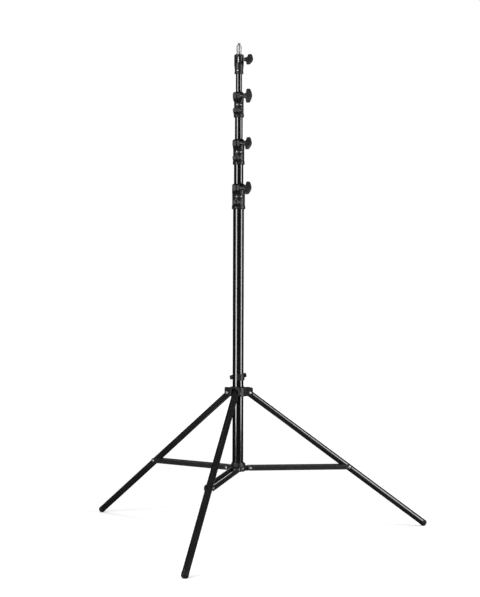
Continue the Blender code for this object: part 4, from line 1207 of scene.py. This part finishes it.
class StandHub(bpy.types.Operator):
    """The hub casting at the foot of the mast and its screw"""
    bl_idname = "light_stand.hub"
    bl_label = "Hub"

    def execute(self, context):
        sizes = context.scene.stand_sizes
        node = "hub"
        gap = sizes.seat_gap
        pivot = joint_point("brace_1_fold")
        place = mast_at(pivot.z)
        out = (pivot - place.translation).length
        low, high = span(node, place)
        bore = radius_of("base_tube") + gap
        radius = 0.0228
        outline = eased([(0.0, low.z), (radius, low.z), (radius, 0.0092), (bore + 0.001, high.z), (0.0, high.z)],
                        0.001, 3, closed=False)
        solids = [turned(outline, CASTING_SIDES)]
        half = leg_radius() + STRAP_GAP - gap
        tall = 0.008
        root = (bore + radius) / 2.0
        lug = arc((out, 0.0), tall, -90.0, 90.0, 12) + [(root, tall), (root, -tall)]
        wall = 0.0043
        pocket = half - wall
        cutters = []
        for number in LEGS:
            turn = tilt("Z", azimuth(joint_point(f"brace_{number}_fold") - place.translation))
            solids.append(moved(with_edges(prism(lug, -half, half), LUG_EDGE), turn @ UPRIGHT))
            tab = block((radius - 0.0016, -0.0045, 0.0), (radius + 0.0016, 0.0045, 0.0165))
            solids.append(moved(with_edges(tab, LUG_EDGE), turn))
            cutters.append(moved(block((radius + 0.0032, -pocket, -0.1), (0.1, pocket, tall - wall)), turn))
            cutters.append(pivot_hole(sizes, turn, out))
        cutters.append(rod(bore, -0.1, 0.1, TUBE_SIDES))
        shape = carved(solids, cutters, sizes.casting_grain)
        add_piece("hub_casting", shape, place, "casting", [node], sharp=None)
        fixing_screw("hub_face_screw", "hub_screw")
        return {"FINISHED"}


class StandRivets(bpy.types.Operator):
    """The rivets of the collar, of the hub and of the legs"""
    bl_idname = "light_stand.rivets"
    bl_label = "Rivets"

    def execute(self, context):
        radius = context.scene.stand_sizes.shank_radius
        for number in LEGS:
            for kind, place in (("collar", leg_frame(number)), ("hub", brace_frame(number))):
                node = f"{kind}_rivet_{number}"
                low, high = span(node, place)
                shape = rivet_shape(high.y - RIVET_HEAD, radius, (high.z - low.z) / 2.0, RIVET_HEAD)
                add_piece(f"{node}_headed", shape, place @ ALONG_Y, "steel", [node])
            node = f"leg_{number}_rivet"
            place = leg_frame(number)
            low, high = span(node, place)
            centre = Matrix.Translation(place.inverted() @ middle(node))
            add_piece(f"leg_{number}_shank", rod(radius, low.y, high.y, PIN_SIDES), place @ centre @ ALONG_Y,
                      "steel", [node])
        return {"FINISHED"}


class StandLegs(bpy.types.Operator):
    """The three leg tubes"""
    bl_idname = "light_stand.legs"
    bl_label = "Legs"

    def execute(self, context):
        for number in LEGS:
            tube(f"leg_{number}_tube", leg_frame(number), context.scene.stand_sizes, "leg")
        return {"FINISHED"}


class StandFeet(bpy.types.Operator):
    """The three rubber feet"""
    bl_idname = "light_stand.feet"
    bl_label = "Feet"

    def execute(self, context):
        sizes = context.scene.stand_sizes
        for number in LEGS:
            node = f"leg_{number}_foot"
            place = leg_frame(number)
            low, high = span(node, place)
            radius = (high.y - low.y) / 2.0
            plug = leg_radius() - sizes.tube_wall - sizes.seat_gap
            rim = span(f"leg_{number}_tube", place)[0].z - sizes.seat_gap
            ease = sizes.foot_round
            outline = [(0.0, low.z)] + arc((radius - ease, low.z + ease), ease, -90.0, 0.0, 12)
            outline += [(radius, rim - 0.0036), (radius - 0.0004, rim - 0.0032), (radius - 0.0004, rim - 0.0024),
                        (radius, rim - 0.0020), (radius, rim - 0.0007), (radius - 0.0007, rim), (plug, rim)]
            for part in (0.25, 0.50, 0.75):
                rib = rim + (high.z - rim) * part
                outline += [(plug, rib), (plug - 0.0005, rib + 0.0005), (plug - 0.0005, rib + 0.0015),
                            (plug, rib + 0.002)]
            outline += [(plug, high.z - 0.0006), (plug - 0.0006, high.z), (0.0, high.z)]
            mesh = turned(outline, TUBE_SIDES)
            self.flatten(mesh, place.inverted(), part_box(node)[0].z)
            add_piece(f"leg_{number}_rubber_foot", settled(mesh), place, "rubber", [node], sharp=50.0)
        return {"FINISHED"}

    def flatten(self, mesh, to_leg, ground):
        """Cuts away what would stand below the ground, and closes the sole."""
        cut = bmesh.ops.bisect_plane(mesh, geom=mesh.verts[:] + mesh.edges[:] + mesh.faces[:],
                                     plane_co=to_leg @ Vector((0.0, 0.0, ground)), plane_no=to_leg.to_3x3() @ -UP,
                                     clear_outer=True)
        edges = [item for item in cut["geom_cut"] if isinstance(item, bmesh.types.BMEdge)]
        bmesh.ops.contextual_create(mesh, geom=edges)


class StandBraces(bpy.types.Operator):
    """The three pairs of brace straps and the rivet heads at their leg ends"""
    bl_idname = "light_stand.braces"
    bl_label = "Braces"

    def execute(self, context):
        for number in LEGS:
            for letter in ("a", "b"):
                self.strap(number, letter, context.scene.stand_sizes)
        return {"FINISHED"}

    def strap(self, number, letter, sizes):
        node = f"brace_{number}_strap_{letter}"
        place = brace_frame(number)
        end = (place.inverted() @ middle(f"leg_{number}_rivet")).x
        low, high = span(node, place)
        flat = place @ (ALONG_Y if high.y + low.y > 0.0 else UPRIGHT)
        half = (high.z - low.z) / 2.0
        inner = leg_radius() + STRAP_GAP
        outer = inner + 0.0025
        ease = sizes.strap_edge
        rows = [(0.0, -ease), (ease, 0.0), (outer - inner - ease, 0.0), (outer - inner, -ease)]
        body = lofted([[(x, y, inner + depth) for x, y in bar(0.0, end, half + grow, 12)] for depth, grow in rows])
        start = sizes.strap_groove_end
        deep = sizes.strap_groove_depth
        wide = sizes.strap_groove / 2.0
        rows = [(-deep, -deep * 0.9), (-deep * 0.25, -deep * 0.1), (deep, deep * 0.3)]
        groove = lofted([[(x, y, outer + depth) for x, y in bar(start, end - start, wide + grow, 8)]
                         for depth, grow in rows])
        pivot = rod(sizes.shank_radius + sizes.seat_gap, 0.0, 0.05, PIN_SIDES)
        shape = cut_out(body, [groove, pivot])
        add_piece(f"brace_{number}_bar_{letter}", shape, flat, "strap", [node], sharp=25.0)
        head = turned([(0.0, inner + 0.001), (sizes.shank_radius, inner + 0.001)]
                      + dome(0.0046, outer - 0.00005, RIVET_HEAD), SCREW_SIDES)
        add_piece(f"brace_{number}_rivet_head_{letter}", head, flat @ Matrix.Translation((end, 0.0, 0.0)), "steel",
                  [], BODY_OF[node])


class StandInnerPieces(bpy.types.Operator):
    """The plugs, sleeves and liner, which keep their CAD shapes and get their own plastic"""
    bl_idname = "light_stand.inner_pieces"
    bl_label = "Inner pieces"

    def execute(self, context):
        nodes = ["base_end_plug", "collar_liner"]
        nodes += [f"riser_{number}_plug" for number in CLAMPS] + [f"lock_{number}_sleeve" for number in CLAMPS]
        for node in nodes:
            data = frame["nodes"][node].data
            data.materials.clear()
            data.materials.append(finish_of("nylon"))
        return {"FINISHED"}


class StandStage(bpy.types.Operator):
    """The pale floor, the soft lamps, the dark cards and the camera"""
    bl_idname = "light_stand.stage"
    bl_label = "Stage"

    def execute(self, context):
        scene = context.scene
        self.floor(scene.stand_colours, scene.studio)
        self.flags(scene.stand_colours, scene.studio)
        self.world(scene, scene.studio)
        self.lamps(scene, scene.studio)
        self.camera(scene, scene.studio)
        scene.view_settings.view_transform = "Standard"
        return {"FINISHED"}

    def prop(self, name, mesh, material):
        """A studio object that is no piece of the stand."""
        data = bpy.data.meshes.new(name)
        mesh.to_mesh(data)
        mesh.free()
        data.materials.append(material)
        thing = bpy.data.objects.new(name, data)
        bpy.context.scene.collection.objects.link(thing)
        return thing

    def floor(self, colours, studio):
        mesh = bmesh.new()
        bmesh.ops.create_grid(mesh, x_segments=8, y_segments=8, size=studio.floor_reach)
        material, tree, shader = painted("floor_pale", {"Roughness": 0.85, "Specular IOR Level": 0.2,
                                                        "Emission Strength": 1.0})
        shaded = scaled(colours.floor, 0.97)
        tree.feed(shader["Base Color"], tree.tint(tree.noise(1.5) * 0.2, colours.floor, shaded))
        seen = tree.ray("Camera") + tree.ray("Glossy")
        away = tree.add("ShaderNodeVectorMath", {"operation": "LENGTH"}, {0: tree.surface_point()}, "Value")
        glow = away.between(studio.glow_start, studio.glow_end) * (studio.far_glow - studio.near_glow)
        tree.feed(shader["Emission Color"], tree.tint(seen * (glow + studio.near_glow), BLACK, WHITE))
        self.prop("studio_floor", mesh, material)

    def flags(self, colours, studio):
        """Dark cards round the stand, under it and over it, seen in reflections alone."""
        mesh = bmesh.new()
        rows = []
        for step in range(FLAG_STEPS + 1):
            out = towards(studio.camera_side + studio.flag_reach * (2.0 * step / FLAG_STEPS - 1.0))
            inner, outer = out * studio.flag_hole, out * studio.flag_distance
            low, high = UP * studio.flag_gap, UP * studio.flag_height
            rows.append([mesh.verts.new(point)
                         for point in (inner + low, outer + low, outer + low + high, inner + high)])
        for here, after in zip(rows, rows[1:]):
            for row in range(3):
                mesh.faces.new((here[row], here[row + 1], after[row + 1], after[row]))
        material, tree, shader = painted("card_black", {"Roughness": 1.0, "Specular IOR Level": 0.0})
        tree.feed(shader["Base Color"], tree.tint(tree.noise(3.0), colours.card, scaled(colours.card, 1.3)))
        thing = self.prop("studio_dark_cards", mesh, material)
        thing.matrix_world = mast_at(0.0)
        thing.visible_camera = False
        thing.visible_diffuse = False
        thing.visible_transmission = False
        thing.visible_shadow = False

    def world(self, scene, studio):
        """White where the camera and clear reflections look, a weak fill for everything else."""
        world = bpy.data.worlds.new("studio_white")
        world.use_nodes = True
        tree = Tree(world.node_tree)
        seen = tree.ray("Camera").either(tree.ray("Glossy")).either(tree.ray("Transmission"))
        background = world.node_tree.nodes["Background"].inputs
        tree.feed(background["Strength"], seen * (1.0 - studio.fill) + studio.fill)
        background["Color"].default_value = opaque(WHITE)
        scene.world = world

    def lamps(self, scene, studio):
        centre = mast_at(studio.lamp_centre).translation
        extent = (studio.lamp_width, studio.lamp_height)
        for name, side, watts in (("left", studio.left_side, studio.left_power),
                                  ("right", studio.right_side, studio.right_power)):
            spot = centre + towards(studio.camera_side + side) * studio.lamp_distance
            self.lamp(scene, name, spot, centre, UP, extent, watts)
        extent = (studio.top_size, studio.top_size)
        top = self.lamp(scene, "top", centre + UP * studio.top_rise, centre, AWAY, extent, studio.top_power)
        top.visible_glossy = False

    def lamp(self, scene, name, spot, target, side, extent, watts):
        light = bpy.data.lights.new(f"lamp_{name}", "AREA")
        light.shape = "RECTANGLE"
        light.size, light.size_y = extent
        light.energy = watts
        thing = bpy.data.objects.new(f"lamp_{name}", light)
        scene.collection.objects.link(thing)
        thing.matrix_world = axes(spot, spot - target, side)
        thing.visible_camera = False
        return thing

    def camera(self, scene, studio):
        out = towards(studio.camera_side)
        aside = UP.cross(out) * studio.camera_aside
        spot = mast_at(studio.camera_height).translation + out * studio.camera_distance + aside
        lens = bpy.data.cameras.new("photo_camera")
        lens.lens = studio.lens
        lens.sensor_width = SENSOR_WIDTH
        lens.shift_y = studio.shift
        camera = bpy.data.objects.new("photo_camera", lens)
        scene.collection.objects.link(camera)
        camera.matrix_world = axes(spot, out, UP) @ Matrix.Rotation(studio.camera_roll, 4, "Z")
        scene.camera = camera


STEPS = (StandMastTubes, StandMastClamps, StandClampFasteners, StandKnobs, StandTopReceiver, StandStud,
         StandLegCollar, StandHub, StandRivets, StandLegs, StandFeet, StandBraces, StandInnerPieces, StandStage)


class StandPanel(bpy.types.Panel):
    """Buttons for each step of the build"""
    bl_idname = "VIEW3D_PT_light_stand"
    bl_label = "Light stand"
    bl_space_type = "VIEW_3D"
    bl_region_type = "UI"
    bl_category = "Light stand"

    def draw(self, context):
        for step in STEPS:
            self.layout.operator(step.bl_idname)
        for group in (context.scene.stand_sizes, context.scene.stand_colours, context.scene.studio):
            box = self.layout.box()
            for name in group.bl_rna.properties.keys():
                if name not in ("rna_type", "name"):
                    box.prop(group, name)


GROUPS = {"stand_sizes": StandSizes, "stand_colours": StandColours, "studio": StudioSettings}


def register():
    for group in GROUPS.values():
        bpy.utils.register_class(group)
    for name, group in GROUPS.items():
        setattr(bpy.types.Scene, name, PointerProperty(type=group))
    for step in STEPS + (StandPanel,):
        bpy.utils.register_class(step)


def unregister():
    for step in reversed(STEPS + (StandPanel,)):
        bpy.utils.unregister_class(step)
    for name in GROUPS:
        delattr(bpy.types.Scene, name)
    for group in GROUPS.values():
        bpy.utils.unregister_class(group)


def main():
    register()
    for step in STEPS:
        group, name = step.bl_idname.split(".")
        getattr(getattr(bpy.ops, group), name)()


if __name__ == "__main__":
    main()
